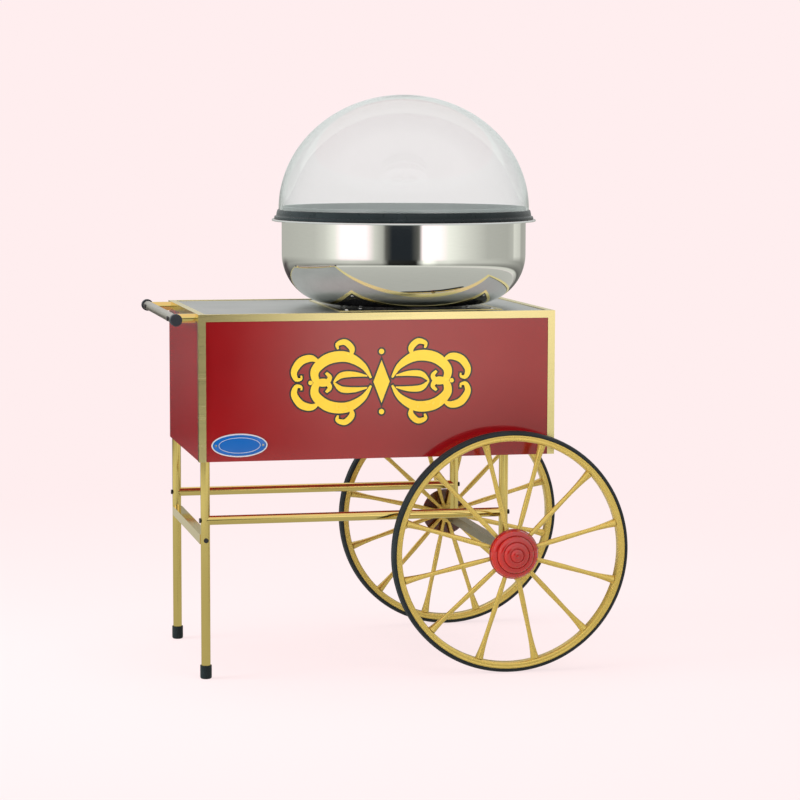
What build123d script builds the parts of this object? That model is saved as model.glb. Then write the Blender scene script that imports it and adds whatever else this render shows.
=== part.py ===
from build123d import *
import math
import os

# Cotton candy machine let into the top of a two-wheeled cart. Millimetres.
# x runs along the cart towards the wheels, y from the customer's side to the operator's side,
# z up from the floor. The pieces are laid out about the cabinet's centre, and save() moves
# them so that the origin is on the floor under the centre of the whole cart's outline.

# ---------------------------------------------------------------- driving dimensions
cabinet_length = 746
cabinet_depth = 464
cabinet_height = 300
cabinet_floor_z = 448
panel_t = 2
plate_t = 1.5
trim_w = 15
trim_t = 1.5

tube_d = 19
tube_wall = 1.5
square_w = 20
square_wall = 2
leg_to_panel = 1
plug_length = 16
stretcher_z = 327
rail_z = 287
foot_d = 24
foot_height = 28
foot_sole = 4
foot_round = 4

wheel_r = 252
tyre_width = 28
tyre_t = 8.5
tyre_shoulder = 5
tyre_ridge = 1
tyre_ridge_w = 4
rim_width = 26
rim_t = 13
rim_round = 3
wheel_stand_out = 60
spoke_count = 12
spoke_phase_front = 13.5
spoke_phase_back = 17
spoke_mid_d = 10.5
spoke_hub_w = 8.6
spoke_hub_d = 12
spoke_foot_w = 18
spoke_foot_d = 24
spoke_swell_d = 11.5
spoke_neck_length = 42
spoke_foot_length = 38
spoke_heel_length = 13
hub_r = 20
hub_plane_out = 4
hub_in = 18
hub_out = 20
cap_r = 52
cap_back_out = 13
cap_height = 39
cap_wall = 2.5
cap_ring_outer = (50, 39, 27, 14)
cap_ring_rise = (14, 9.5, 6.5, 5)
cap_groove = 1
cap_tip_r = 1
cap_bulge_in = 0.3
cap_bulge_up = 0.72
cap_cavity_bulge = 0.62
axle_x = 268
axle_r = 7.95
spacer_r = 12
washer_r = 15
washer_t = 2
axle_nut_flats = 24
axle_nut_t = 10
axle_tip = 3

handle_reach = 46
handle_drop = 10
handle_overhang = 6
handle_post_inset = 30
handle_cap_r = 12.5
handle_cap_length = 14
handle_cap_end = 4

bolt_r = 3
bolt_head_r = 5
bolt_head_t = 3
nut_flats = 10
nut_t = 5

badge_x = -290
badge_z = 481
badge_length = 115
badge_height = 48
badge_t = 1.5
rivet_spacing = 97
rivet_r = 2.5
rivet_t = 1.2

machine_x = 102
well_w = 330
well_flange_w = 8
well_lip_w = 4
deck_t = 3
deck_boss_r = 125
deck_boss_t = 4
deck_collar_h = 10
deck_bore_r = 22
housing_inset = 12.9
housing_depth = 188
housing_wall = 1.5
vent_count = 6
vent_length = 180
vent_width = 6
vent_pitch = 24
deck_screw_inset = 8.4
post_x = 115
post_y = 105
post_r = 6
screw_r = 2
screw_head_r = 4
screw_head_t = 2.5
screw_grip = 8
bracket_drop = 48
bracket_t = 3
bracket_margin = 10
motor_r = 45
motor_length = 95
motor_bell_r = 30
motor_bell_length = 12

shaft_r = 6
shaft_in_motor = 55
ring_r = 14
ring_core_r = 9
ring_t = 6
ring_gap = 4
ring_rise = 8
brush_w = 20
brush_depth = 26
brush_top = 4
head_rise = 56
head_r = 62
head_plate_t = 4
head_rim_t = 5
head_rim_h = 6
head_hub_r = 12
head_hub_h = 8
ribbon_r = 55
ribbon_t = 2
ribbon_h = 34
ribbon_slots = 24
ribbon_slot_w = 5
ribbon_slot_h = 22
cover_window_in = 14
cover_window_out = 34
cover_windows = 4
cover_bridge_w = 8
shaft_tip = 12

bowl_r = 260
bowl_wall = 1.5
bowl_corner = 105
bowl_straight = 94
bowl_hole_r = 75
rim_above_ring = 7
flange_out = 21
flange_drop = 20
flange_lip = 4
ring_foot_out = 16
ring_top_out = 9
ring_seat_depth = 3
dome_out = 6.5
dome_wall = 3
dome_flattening = 24.5
dome_skirt = 4
dome_crown_r = 2

control_x = 150
control_drop = 108
control_w = 170
control_h = 110
control_t = 2
control_margin = 12
rocker_x = 45
rocker_w = 18
rocker_r = 12.5
rocker_tip = 2.7
rocker_dip = 1
rocker_tilt = 8
rocker_pin_r = 2
rocker_pin = 2
switch_wall = 3.5
bezel_margin = 3
bezel_t = 2
knob_x = -35
knob_r = 18
knob_h = 18
knob_pointer_w = 4
knob_pointer_t = 2
spindle_r = 3
spindle_length = 16
bushing_r = 5
bushing_h = 3
rotary_w = 36
rotary_depth = 24
inlet_drop = 208
inlet_w = 27
inlet_h = 20
inlet_depth = 26
inlet_flange_w = 50
inlet_flange_h = 30
inlet_flange_t = 2
inlet_wall = 2
inlet_pin_w = 2
inlet_pin_h = 4
inlet_pin_spacing = 7

door_x = -215
door_w = 240
door_h = 230
door_gap = 1.5
door_return = 12
hinge_offset_z = 75
hinge_height = 54
hinge_leaf_w = 18
hinge_leaf_t = 1.5
knuckle_r = 4
knuckle_clear = 5.5
hinge_pin_r = 2
door_knob_r = 10
door_knob_neck_r = 4
door_knob_reach = 20
door_knob_t = 8
door_knob_inset = 22

# clearances
running_fit = 0.05
collar_fit = 0.5
hole_gap = 0.3
seat_gap = 0.3

# ---------------------------------------------------------------- derived places
half_l = cabinet_length / 2
half_d = cabinet_depth / 2
top_z = cabinet_floor_z + cabinet_height
plate_top = top_z - trim_t
plate_low = plate_top - plate_t
panel_x = half_l - trim_t
panel_y = half_d - trim_t
tube_r = tube_d / 2
leg_inset = trim_t + panel_t + leg_to_panel + tube_r
leg_y = half_d - leg_inset
left_leg_x = -(half_l - leg_inset)
axle_z = wheel_r
wheel_face_y = half_d + wheel_stand_out
beam_end_y = leg_y + tube_r + panel_t
rim_r = wheel_r - tyre_t
rim_inner_r = rim_r - rim_t
wheel_mid_y = wheel_face_y - tyre_width / 2
hub_plane_y = wheel_face_y + hub_plane_out
hub_inner_y = wheel_face_y - hub_in
hub_outer_y = wheel_face_y + hub_out
cap_back_y = wheel_face_y + cap_back_out
cap_tip_y = cap_back_y + cap_height
bar_x = -(half_l + handle_reach)
handle_z = top_z - handle_drop
handle_bar_length = cabinet_depth + 2 * handle_overhang
handle_post_y = leg_y - handle_post_inset
handle_out = max(handle_cap_r, tube_r + bolt_head_t)
origin_x = (bar_x - handle_out + axle_x + wheel_r) / 2

deck_half = well_w / 2 - trim_t - hole_gap - seat_gap
deck_screw_x = deck_half - deck_screw_inset
deck_collar_r = bowl_hole_r - collar_fit
deck_low = top_z - deck_t
flange_low = deck_low - housing_wall
housing_z = top_z - housing_depth
bracket_z = top_z - bracket_drop
ring_z = bracket_z + ring_rise
motor_top = bracket_z - bracket_t
motor_low = motor_top - motor_length
bowl_z = top_z + deck_boss_t
bowl_top_z = bowl_z + bowl_corner + bowl_straight
bowl_rim_z = bowl_top_z + rim_above_ring
flange_z = bowl_top_z - flange_drop
flange_r = bowl_r + flange_out
ring_foot_r = bowl_r + ring_foot_out
ring_top_r = bowl_r + ring_top_out
dome_r = bowl_r + dome_out
dome_rise = dome_r - dome_flattening
head_z = bowl_z + head_rise
head_top = head_z + head_plate_t + ribbon_h + head_plate_t
dome_z = bowl_top_z - ring_seat_depth
dome_spring_z = dome_z + dome_skirt
control_y = panel_y + control_t
control_z = top_z - control_drop
inlet_z = top_z - inlet_drop
door_z = cabinet_floor_z + cabinet_height / 2
hinge_x = door_x - door_w / 2 - door_gap / 2
hinge_y = panel_y + knuckle_r + seat_gap
hinge_lows = [door_z + side * hinge_offset_z - hinge_height / 2 for side in (-1, 1)]


# ---------------------------------------------------------------- helpers
def block(x0, x1, y0, y1, z0, z1):
    centre = Pos((x0 + x1) / 2, (y0 + y1) / 2, (z0 + z1) / 2)
    return centre * Box(abs(x1 - x0), abs(y1 - y0), abs(z1 - z0))


def square_ring(outer, inner, z0, z1, x=0.0):
    """A square frame about x, given by its outer and inner half widths."""
    full = block(x - outer, x + outer, -outer, outer, z0, z1)
    return full - block(x - inner, x + inner, -inner, inner, z0 - 1, z1 + 1)


def rod_z(x, y, z0, z1, r):
    return Pos(x, y, (z0 + z1) / 2) * Cylinder(r, z1 - z0)


def rod_x(x0, x1, y, z, r):
    return Pos((x0 + x1) / 2, y, z) * Rot(0, 90, 0) * Cylinder(r, abs(x1 - x0))


def rod_y(x, y0, y1, z, r):
    return Pos(x, (y0 + y1) / 2, z) * Rot(90, 0, 0) * Cylinder(r, abs(y1 - y0))


def hex_x(x0, x1, y, z, flats):
    nut = extrude(RegularPolygon(flats / math.sqrt(3), 6), abs(x1 - x0))
    return Pos(min(x0, x1), y, z) * Rot(0, 90, 0) * nut


def turned(*edges):
    """A solid turned about the z axis from a closed outline in the x-z plane."""
    return revolve(Plane.XZ * make_face(list(edges)), Axis.Z)


def group(solids):
    return Compound(list(solids))


def corners(x, y):
    return [(sx * x, sy * y) for sx in (-1, 1) for sy in (-1, 1)]


def save(name, shape):
    export_step(Pos(-origin_x, 0, 0) * shape, f"parts/{name}.step")


# ---------------------------------------------------------------- cabinet
def front_panel():
    return block(-panel_x, panel_x, -panel_y, -panel_y + panel_t, cabinet_floor_z, plate_low)


def back_panel():
    sheet = block(-panel_x, panel_x, panel_y - panel_t, panel_y, cabinet_floor_z, plate_low)
    door_half = door_w / 2 + door_gap
    door_tall = door_h / 2 + door_gap
    cut_w = control_w / 2 - control_margin
    cut_h = control_h / 2 - control_margin
    inlet_half_w = inlet_w / 2 + hole_gap
    inlet_half_h = inlet_h / 2 + hole_gap
    cuts = [
        (door_x, door_z, door_half, door_tall),
        (control_x, control_z, cut_w, cut_h),
        (control_x, inlet_z, inlet_half_w, inlet_half_h),
    ]
    for x, z, half_w, half_h in cuts:
        sheet -= block(x - half_w, x + half_w, panel_y - 2 * panel_t, panel_y + panel_t,
                       z - half_h, z + half_h)
    return sheet


def end_panel(side):
    inner = panel_x - panel_t
    edge_y = panel_y - panel_t
    sheet = block(side * inner, side * panel_x, -edge_y, edge_y, cabinet_floor_z, plate_low)
    if side < 0:
        sheet -= handle_bolt_holes()
    return sheet


def bottom_panel():
    x = panel_x - panel_t
    y = panel_y - panel_t
    sheet = block(-x, x, -y, y, cabinet_floor_z, cabinet_floor_z + panel_t)
    for leg_x in (left_leg_x, axle_x):
        for side in (-1, 1):
            sheet -= rod_z(leg_x, side * leg_y, cabinet_floor_z - 1,
                           cabinet_floor_z + panel_t + 1, tube_r + hole_gap)
    return sheet


def top_plate():
    sheet = block(-panel_x, panel_x, -panel_y, panel_y, plate_low, plate_top)
    half = well_w / 2
    return sheet - block(machine_x - half, machine_x + half, -half, half,
                         plate_low - 1, plate_top + 1)


def top_trim():
    """Four lengths of angle, mitred at the corners."""
    rail = block(-half_l, half_l, -half_d, half_d, top_z - trim_w, top_z)
    rail -= block(-panel_x, panel_x, -panel_y, panel_y, top_z - trim_w - 1, plate_top)
    inner_x = half_l - trim_w
    inner_y = half_d - trim_w
    rail -= block(-inner_x, inner_x, -inner_y, inner_y, plate_top - 1, top_z + 1)
    rail -= handle_bolt_holes()
    lengths = []
    for along, across, turn in ((half_l, half_d, 0), (half_d, half_l, 90),
                                (half_l, half_d, 180), (half_d, half_l, 270)):
        mitre = Polyline((-along, -across), (along, -across),
                         (along - across / 2, -across / 2), (-along + across / 2, -across / 2),
                         close=True)
        wedge = Pos(0, 0, top_z - trim_w) * extrude(make_face(mitre), trim_w)
        lengths.append(rail & (Rot(0, 0, turn) * wedge))
    return group(lengths)


def corner_trims():
    """Angles up the two front corners."""
    angles = []
    low = cabinet_floor_z
    high = top_z - trim_w
    for side in (-1, 1):
        face = block(side * (half_l - trim_w), side * half_l, -half_d, -panel_y, low, high)
        edge = block(side * panel_x, side * half_l, -half_d, -half_d + trim_w, low, high)
        angles.append(face + edge)
    return group(angles)


# ---------------------------------------------------------------- tubular frame
def bolt_hole_x(x, y, z):
    return rod_x(x - tube_d, x + tube_d, y, z, bolt_r + hole_gap / 2)


def leg(x, side, foot_z):
    y = side * leg_y
    tube = rod_z(x, y, foot_z, plate_low, tube_r)
    tube -= rod_z(x, y, foot_z - 1, plate_low + 1, tube_r - tube_wall)
    tube -= bolt_hole_x(x, y, stretcher_z)
    if x == left_leg_x:
        tube -= rod_y(x, y - tube_d, y + tube_d, rail_z, bolt_r + hole_gap / 2)
    return tube


def rubber_feet():
    feet = []
    for side in (-1, 1):
        cup = rod_z(left_leg_x, side * leg_y, 0, foot_height, foot_d / 2)
        cup = fillet(cup.edges().sort_by(Axis.Z)[0], foot_round)
        feet.append(cup - rod_z(left_leg_x, side * leg_y, foot_sole, foot_height + 1, tube_r))
    return group(feet)


def stretcher(side):
    y = side * leg_y
    bar = rod_x(left_leg_x, axle_x, y, stretcher_z, tube_r)
    hollow_start = left_leg_x + tube_r + plug_length
    hollow_end = axle_x - tube_r - plug_length
    bar -= rod_x(hollow_start, hollow_end, y, stretcher_z, tube_r - tube_wall)
    bar -= rod_x(left_leg_x, hollow_start, y, stretcher_z, bolt_r + running_fit)
    bar -= rod_x(hollow_end, axle_x, y, stretcher_z, bolt_r + running_fit)
    for leg_x in (left_leg_x, axle_x):
        bar -= rod_z(leg_x, y, stretcher_z - tube_d, stretcher_z + tube_d, tube_r)
    return bar


def left_cross_rail():
    end_y = leg_y - tube_r
    half = square_w / 2
    inner = half - square_wall
    hollow_y = end_y - plug_length
    rail = block(left_leg_x - half, left_leg_x + half, -end_y, end_y, rail_z - half, rail_z + half)
    rail -= block(left_leg_x - inner, left_leg_x + inner, -hollow_y, hollow_y,
                  rail_z - inner, rail_z + inner)
    return rail - rod_y(left_leg_x, -end_y - 1, end_y + 1, rail_z, bolt_r + running_fit)


def axle_beam():
    half = square_w / 2
    inner = half - square_wall
    beam = block(axle_x - half, axle_x + half, -beam_end_y, beam_end_y, axle_z - half, axle_z + half)
    return beam - block(axle_x - inner, axle_x + inner, -beam_end_y - 1, beam_end_y + 1,
                        axle_z - inner, axle_z + inner)


def frame_bolts():
    """Button-head bolts into each stretcher end and rail end, and through the handle."""
    reach = tube_r + plug_length - 2
    bolts = []
    for side in (-1, 1):
        y = side * leg_y
        for leg_x, out in ((left_leg_x, -1), (axle_x, 1)):
            seat = leg_x + out * tube_r
            head = rod_x(seat, seat + out * bolt_head_t, y, stretcher_z, bolt_head_r)
            bolts.append(head + rod_x(seat, leg_x - out * reach, y, stretcher_z, bolt_r))
        seat = y + side * tube_r
        head = rod_y(left_leg_x, seat, seat + side * bolt_head_t, rail_z, bolt_head_r)
        bolts.append(head + rod_y(left_leg_x, seat, y - side * reach, rail_z, bolt_r))
    return group(bolts + handle_bolts())


# ---------------------------------------------------------------- axle and wheels
def axle_end_y():
    return hub_outer_y + seat_gap + washer_t + axle_nut_t + axle_tip


def axle():
    return rod_y(axle_x, -axle_end_y(), axle_end_y(), axle_z, axle_r)


def axle_spacers():
    spacers = []
    for side in (-1, 1):
        end = hub_inner_y - seat_gap
        tube = rod_y(axle_x, side * beam_end_y, side * end, axle_z, spacer_r)
        bore = rod_y(axle_x, side * (beam_end_y - 1), side * (end + 1), axle_z, axle_r + running_fit)
        spacers.append(tube - bore)
    return group(spacers)


def axle_nuts():
    pieces = []
    for side in (-1, 1):
        washer = Pos(0, 0, washer_t / 2) * Cylinder(washer_r, washer_t)
        nut = extrude(RegularPolygon(axle_nut_flats / math.sqrt(3), 6), axle_nut_t)
        bore = Cylinder(axle_r + running_fit, 4 * axle_nut_t)
        seat = hub_outer_y + seat_gap
        pieces.append(on_axle(side, Pos(0, 0, seat) * (washer - bore)))
        pieces.append(on_axle(side, Pos(0, 0, seat + washer_t) * (nut - bore)))
    return group(pieces)


def on_axle(side, shape):
    """Put a shape made about z, with its height measured from the cart's centre plane."""
    return Pos(axle_x, 0, axle_z) * Rot(-90 * side, 0, 0) * shape


def tyre():
    low = wheel_mid_y - tyre_width / 2
    high = wheel_mid_y + tyre_width / 2
    tread = wheel_r - tyre_ridge
    side = tread - tyre_shoulder
    bulge = tyre_shoulder * (1 - math.cos(math.radians(45)))
    ridge = tyre_ridge_w / 2
    return turned(
        Line((rim_r, high), (rim_r, low)),
        Line((rim_r, low), (side, low)),
        ThreePointArc((side, low), (tread - bulge, low + bulge), (tread, low + tyre_shoulder)),
        Polyline((tread, low + tyre_shoulder), (tread, wheel_mid_y - ridge - tyre_ridge),
                 (wheel_r, wheel_mid_y - ridge), (wheel_r, wheel_mid_y + ridge),
                 (tread, wheel_mid_y + ridge + tyre_ridge), (tread, high - tyre_shoulder)),
        ThreePointArc((tread, high - tyre_shoulder), (tread - bulge, high - bulge), (side, high)),
        Line((side, high), (rim_r, high)),
    )


def rim():
    ring = Pos(0, 0, wheel_mid_y) * (Cylinder(rim_r, rim_width) - Cylinder(rim_inner_r, rim_width))
    inner = ring.edges().filter_by(GeomType.CIRCLE).filter_by(lambda e: e.radius < rim_r - rim_t / 2)
    return fillet(inner, rim_round)


def spoke_section(r, width, depth):
    """One oval of a spoke that leans from the hub's plane to the rim's plane."""
    share = (r - hub_r) / (rim_inner_r - hub_r)
    y = hub_plane_y + share * (wheel_mid_y - hub_plane_y)
    plane = Plane(origin=(r, 0, y), x_dir=(0, 1, 0), z_dir=(1, 0, 0))
    return plane * Ellipse(width / 2, depth / 2)


def spokes(phase):
    """Spokes that swell to a broad foot; both ends are cut to the round of the hub and rim."""
    slim = spoke_mid_d
    outline = [
        (hub_r - rim_round, spoke_hub_w, spoke_hub_d),
        (hub_r + spoke_neck_length, (spoke_hub_w + slim) / 2, slim),
        ((hub_r + rim_inner_r) / 2, slim, slim),
        (rim_inner_r - spoke_foot_length, slim, spoke_swell_d),
        (rim_inner_r - spoke_heel_length, (slim + spoke_foot_w) / 2, (slim + spoke_foot_d) / 2),
        (rim_inner_r + rim_round, spoke_foot_w, spoke_foot_d),
    ]
    ring_height = 4 * tyre_width
    ring = Cylinder(rim_inner_r, ring_height) - Cylinder(hub_r, ring_height)
    sections = [spoke_section(r, width, depth) for r, width, depth in outline]
    one = loft(sections) & (Pos(0, 0, wheel_mid_y) * ring)
    one = one.solids()[0]
    step = 360 / spoke_count
    return group(Rot(0, 0, phase + i * step) * one for i in range(spoke_count))


def hub():
    length = hub_outer_y - hub_inner_y
    barrel = Cylinder(hub_r, length) - Cylinder(axle_r + running_fit, length)
    return Pos(0, 0, (hub_outer_y + hub_inner_y) / 2) * barrel


def hub_cap():
    """A stepped cover: a flat back plate on the hub's end, and rings that rise to a small tip."""
    edges = [Line((hub_r, cap_back_y), (cap_r, cap_back_y)),
             Line((cap_r, cap_back_y), (cap_r, cap_back_y + cap_wall)),
             Line((cap_r, cap_back_y + cap_wall), (cap_ring_outer[0], cap_back_y + cap_wall))]
    here = (cap_ring_outer[0], cap_back_y + cap_wall)
    inner_radii = [r + cap_groove for r in cap_ring_outer[1:]] + [cap_wall]
    for inner_r, rise in zip(inner_radii, cap_ring_rise):
        crest = (inner_r, here[1] + rise)
        bulge = (here[0] - cap_bulge_in * (here[0] - inner_r), here[1] + cap_bulge_up * rise)
        edges.append(ThreePointArc(here, bulge, crest))
        if inner_r > cap_wall:
            here = (inner_r - cap_groove, crest[1] - cap_groove)
            edges.append(Line(crest, here))
    tip = (cap_tip_r, cap_tip_y)
    bulge = ((crest[0] + tip[0]) / 2, crest[1] + cap_bulge_up * (tip[1] - crest[1]))
    cavity_top = (axle_r, cap_tip_y - 3 * cap_wall)
    cavity_low = (cap_ring_outer[0] - 2 * cap_wall, cap_back_y + cap_wall)
    cavity_rise = cavity_top[1] - cavity_low[1]
    cavity_mid = (cap_cavity_bulge * cavity_low[0], cavity_low[1] + cap_cavity_bulge * cavity_rise)
    edges += [ThreePointArc(crest, bulge, tip),
              Polyline(tip, (0, tip[1]), (0, cavity_top[1]), cavity_top),
              ThreePointArc(cavity_top, cavity_mid, cavity_low),
              Polyline(cavity_low, (hub_r, cavity_low[1]), (hub_r, cap_back_y))]
    return turned(*edges)


# ---------------------------------------------------------------- handle
def handle_bolt_holes():
    holes = [rod_x(bar_x, -half_l + trim_w, side * handle_post_y, handle_z, bolt_r + hole_gap / 2)
             for side in (-1, 1)]
    return holes[0] + holes[1]


def handle_bar():
    half = handle_bar_length / 2
    bar = rod_y(bar_x, -half, half, handle_z, tube_r)
    bar -= rod_y(bar_x, -half - 1, half + 1, handle_z, tube_r - tube_wall)
    for side in (-1, 1):
        bar -= bolt_hole_x(bar_x, side * handle_post_y, handle_z)
    return bar


def handle_spacers():
    posts = []
    for side in (-1, 1):
        y = side * handle_post_y
        post = rod_x(bar_x, -half_l, y, handle_z, tube_r)
        post -= rod_x(bar_x - 1, -half_l + 1, y, handle_z, tube_r - tube_wall)
        posts.append(post - rod_y(bar_x, y - tube_d, y + tube_d, handle_z, tube_r))
    return group(post.solids()[0] for post in posts)


def handle_end_caps():
    caps = []
    half = handle_bar_length / 2
    for side in (-1, 1):
        outer = side * (half + handle_cap_end)
        cap = rod_y(bar_x, outer - side * handle_cap_length, outer, handle_z, handle_cap_r)
        rounded = cap.edges().sort_by(Axis.Y)[0 if side < 0 else -1]
        cap = fillet(rounded, handle_cap_end / 2)
        caps.append(cap - rod_y(bar_x, 0, side * half, handle_z, tube_r))
    return group(caps)


def handle_bolts():
    pieces = []
    inside = -panel_x + panel_t
    for side in (-1, 1):
        y = side * handle_post_y
        seat = bar_x - tube_r
        head = rod_x(seat - bolt_head_t, seat, y, handle_z, bolt_head_r)
        pieces.append(head + rod_x(seat, inside + 2 * nut_t, y, handle_z, bolt_r))
        nut = hex_x(inside, inside + nut_t, y, handle_z, nut_flats)
        pieces.append(nut - rod_x(inside - 1, inside + 2 * nut_t, y, handle_z, bolt_r + running_fit))
    return pieces


# ---------------------------------------------------------------- name plate, left blank
def badge_plate():
    oval = extrude(Ellipse(badge_length / 2, badge_height / 2), badge_t)
    return Pos(badge_x, -panel_y, badge_z) * Rot(90, 0, 0) * oval


def badge_rivets():
    rivets = []
    for side in (-1, 1):
        x = badge_x + side * rivet_spacing / 2
        seat = -panel_y - badge_t
        rivet = rod_y(x, seat - rivet_t, seat, badge_z, rivet_r)
        rivets.append(fillet(rivet.edges().sort_by(Axis.Y)[0], rivet_t / 2))
    return group(rivets)


# ---------------------------------------------------------------- machine let into the top
def well_trim():
    """A frame of Z section: flange on the plate, wall through the cut-out, lip under the housing."""
    outer = well_w / 2 - hole_gap
    inner = outer - trim_t
    frame = square_ring(well_w / 2 + well_flange_w, inner, plate_top, top_z, machine_x)
    frame += square_ring(outer, inner, flange_low - trim_t, plate_top, machine_x)
    lip = square_ring(inner, inner - well_lip_w, flange_low - trim_t, flange_low, machine_x)
    return frame + lip


def deck_screw_places():
    return corners(deck_screw_x, deck_screw_x) + corners(post_x, post_y)


def machine_deck():
    x = machine_x
    deck = block(x - deck_half, x + deck_half, -deck_half, deck_half, deck_low, top_z)
    deck += rod_z(x, 0, top_z, bowl_z, deck_boss_r)
    deck += rod_z(x, 0, bowl_z, bowl_z + deck_collar_h, deck_collar_r)
    deck -= rod_z(x, 0, deck_low - 1, bowl_z + deck_collar_h + 1, deck_bore_r)
    for dx, dy in deck_screw_places():
        deck -= rod_z(x + dx, dy, deck_low - 1, bowl_z, screw_r + hole_gap / 2)
    return deck


def machine_housing():
    half = deck_half - housing_inset
    inner = half - housing_wall
    x = machine_x
    box = block(x - half, x + half, -half, half, housing_z, flange_low)
    box -= block(x - inner, x + inner, -inner, inner, housing_z + housing_wall, flange_low + 1)
    box += square_ring(deck_half, inner, flange_low, deck_low, x)
    for i in range(vent_count):
        y = (i - (vent_count - 1) / 2) * vent_pitch
        box -= block(x - vent_length / 2, x + vent_length / 2, y - vent_width / 2, y + vent_width / 2,
                     housing_z - 1, housing_z + 2 * housing_wall)
    for dx, dy in corners(deck_screw_x, deck_screw_x):
        box -= rod_z(x + dx, dy, flange_low - 1, deck_low + 1, screw_r + hole_gap / 2)
    return box


def deck_screws():
    screws = []
    for dx, dy in deck_screw_places():
        head = rod_z(machine_x + dx, dy, top_z, top_z + screw_head_t, screw_head_r)
        head = fillet(head.edges().sort_by(Axis.Z)[-1], screw_head_t / 2)
        screws.append(head + rod_z(machine_x + dx, dy, top_z - screw_grip, top_z, screw_r))
    return group(screws)


def motor_bracket():
    """A plate that hangs under the deck on four posts."""
    x = machine_x
    half_x = post_x + bracket_margin
    half_y = post_y + bracket_margin
    plate = block(x - half_x, x + half_x, -half_y, half_y, motor_top, bracket_z)
    for dx, dy in corners(post_x, post_y):
        plate += rod_z(x + dx, dy, bracket_z, deck_low, post_r)
    for dx, dy in corners(post_x, post_y):
        plate -= rod_z(x + dx, dy, top_z - 2 * screw_grip, deck_low + 1, screw_r + running_fit)
    return plate - rod_z(x, 0, motor_top - 1, bracket_z + 1, ring_core_r)


def motor():
    x = machine_x
    body = rod_z(x, 0, motor_low, motor_top, motor_r)
    body = fillet(body.edges().sort_by(Axis.Z)[0], motor_bell_length / 2)
    body += rod_z(x, 0, motor_low - motor_bell_length, motor_low, motor_bell_r)
    bore_low = motor_top - shaft_in_motor - seat_gap
    return body - rod_z(x, 0, bore_low, motor_top + 1, shaft_r + running_fit)


def brush_holder():
    """Stands on the bracket beside the slip rings, with one brush at each ring."""
    x = machine_x
    top = ring_z + 2 * ring_t + ring_gap + brush_top
    near = ring_r + seat_gap
    half_w = brush_w / 2
    holder = block(x - half_w, x + half_w, near + 2 * ring_gap, near + brush_depth, bracket_z, top)
    for i in range(2):
        z = ring_z + ring_t / 2 + i * (ring_t + ring_gap)
        reach = ring_t / 2 - 1
        holder += block(x - reach, x + reach, near, near + 3 * ring_gap, z - reach, z + reach)
    return holder


# ---------------------------------------------------------------- spinner
def spinner_shaft():
    shaft = rod_z(machine_x, 0, motor_top - shaft_in_motor, head_top + shaft_tip, shaft_r)
    return fillet(shaft.edges().sort_by(Axis.Z)[-1], shaft_r / 2)


def slip_rings():
    core_top = ring_z + 2 * ring_t + ring_gap + 2
    rings = rod_z(machine_x, 0, ring_z - 2, core_top, ring_core_r)
    for i in range(2):
        low = ring_z + i * (ring_t + ring_gap)
        rings += rod_z(machine_x, 0, low, low + ring_t, ring_r)
    return rings - rod_z(machine_x, 0, ring_z - 3, core_top + 1, shaft_r)


def spinner_dish():
    x = machine_x
    top = head_z + head_plate_t
    rim_top = top + head_rim_h
    dish = rod_z(x, 0, head_z, rim_top, head_r) - rod_z(x, 0, top, rim_top, head_r - head_rim_t)
    dish += rod_z(x, 0, head_z - head_hub_h, head_z, head_hub_r)
    return dish - rod_z(x, 0, head_z - head_hub_h - 1, top + 1, shaft_r)


def heater_ribbon():
    low = head_z + head_plate_t
    band = rod_z(machine_x, 0, low, low + ribbon_h, ribbon_r)
    band -= rod_z(machine_x, 0, low - 1, low + ribbon_h + 1, ribbon_r - ribbon_t)
    slot = Pos(ribbon_r, 0, low + ribbon_h / 2) * Box(4 * ribbon_t, ribbon_slot_w, ribbon_slot_h)
    step = 360 / ribbon_slots
    for i in range(ribbon_slots):
        band -= Pos(machine_x, 0, 0) * Rot(0, 0, i * step) * slot
    return band


def spinner_cover():
    """A lid on the ribbon, open near the shaft where sugar is poured in."""
    low = head_z + head_plate_t + ribbon_h
    lid = Cylinder(head_r, head_plate_t) - Cylinder(shaft_r, head_plate_t)
    windows = Cylinder(cover_window_out, 2 * head_plate_t) - Cylinder(cover_window_in, 2 * head_plate_t)
    for i in range(cover_windows // 2):
        windows -= Rot(0, 0, i * 360 / cover_windows) * Box(3 * head_r, cover_bridge_w, 3 * head_plate_t)
    return Pos(machine_x, 0, low + head_plate_t / 2) * (lid - windows)


# ---------------------------------------------------------------- bowl and dome
def bowl_body(r, low, corner):
    """A closed cup: straight wall, round corner, flat bottom."""
    spring = low + corner
    mid = corner * math.cos(math.radians(45))
    return turned(
        Line((0, low), (r - corner, low)),
        ThreePointArc((r - corner, low), (r - corner + mid, spring - mid), (r, spring)),
        Line((r, spring), (r, bowl_rim_z)),
        Line((r, bowl_rim_z), (0, bowl_rim_z)),
        Line((0, bowl_rim_z), (0, low)),
    )


def bowl():
    cup = bowl_body(bowl_r, bowl_z, bowl_corner)
    cup -= bowl_body(bowl_r - bowl_wall, bowl_z + bowl_wall, bowl_corner - bowl_wall)
    cup -= rod_z(0, 0, bowl_z - 1, bowl_z + bowl_corner, bowl_hole_r)
    return Pos(machine_x, 0, 0) * cup


def bowl_flange():
    """A ring welded round the wall, turned down at its edge."""
    flange = rod_z(0, 0, flange_z - flange_lip, flange_z, flange_r)
    flange -= rod_z(0, 0, flange_z - flange_lip - 1, flange_z - bowl_wall, flange_r - bowl_wall)
    flange -= rod_z(0, 0, flange_z - flange_lip - 1, flange_z + 1, bowl_r)
    return Pos(machine_x, 0, 0) * flange


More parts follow.
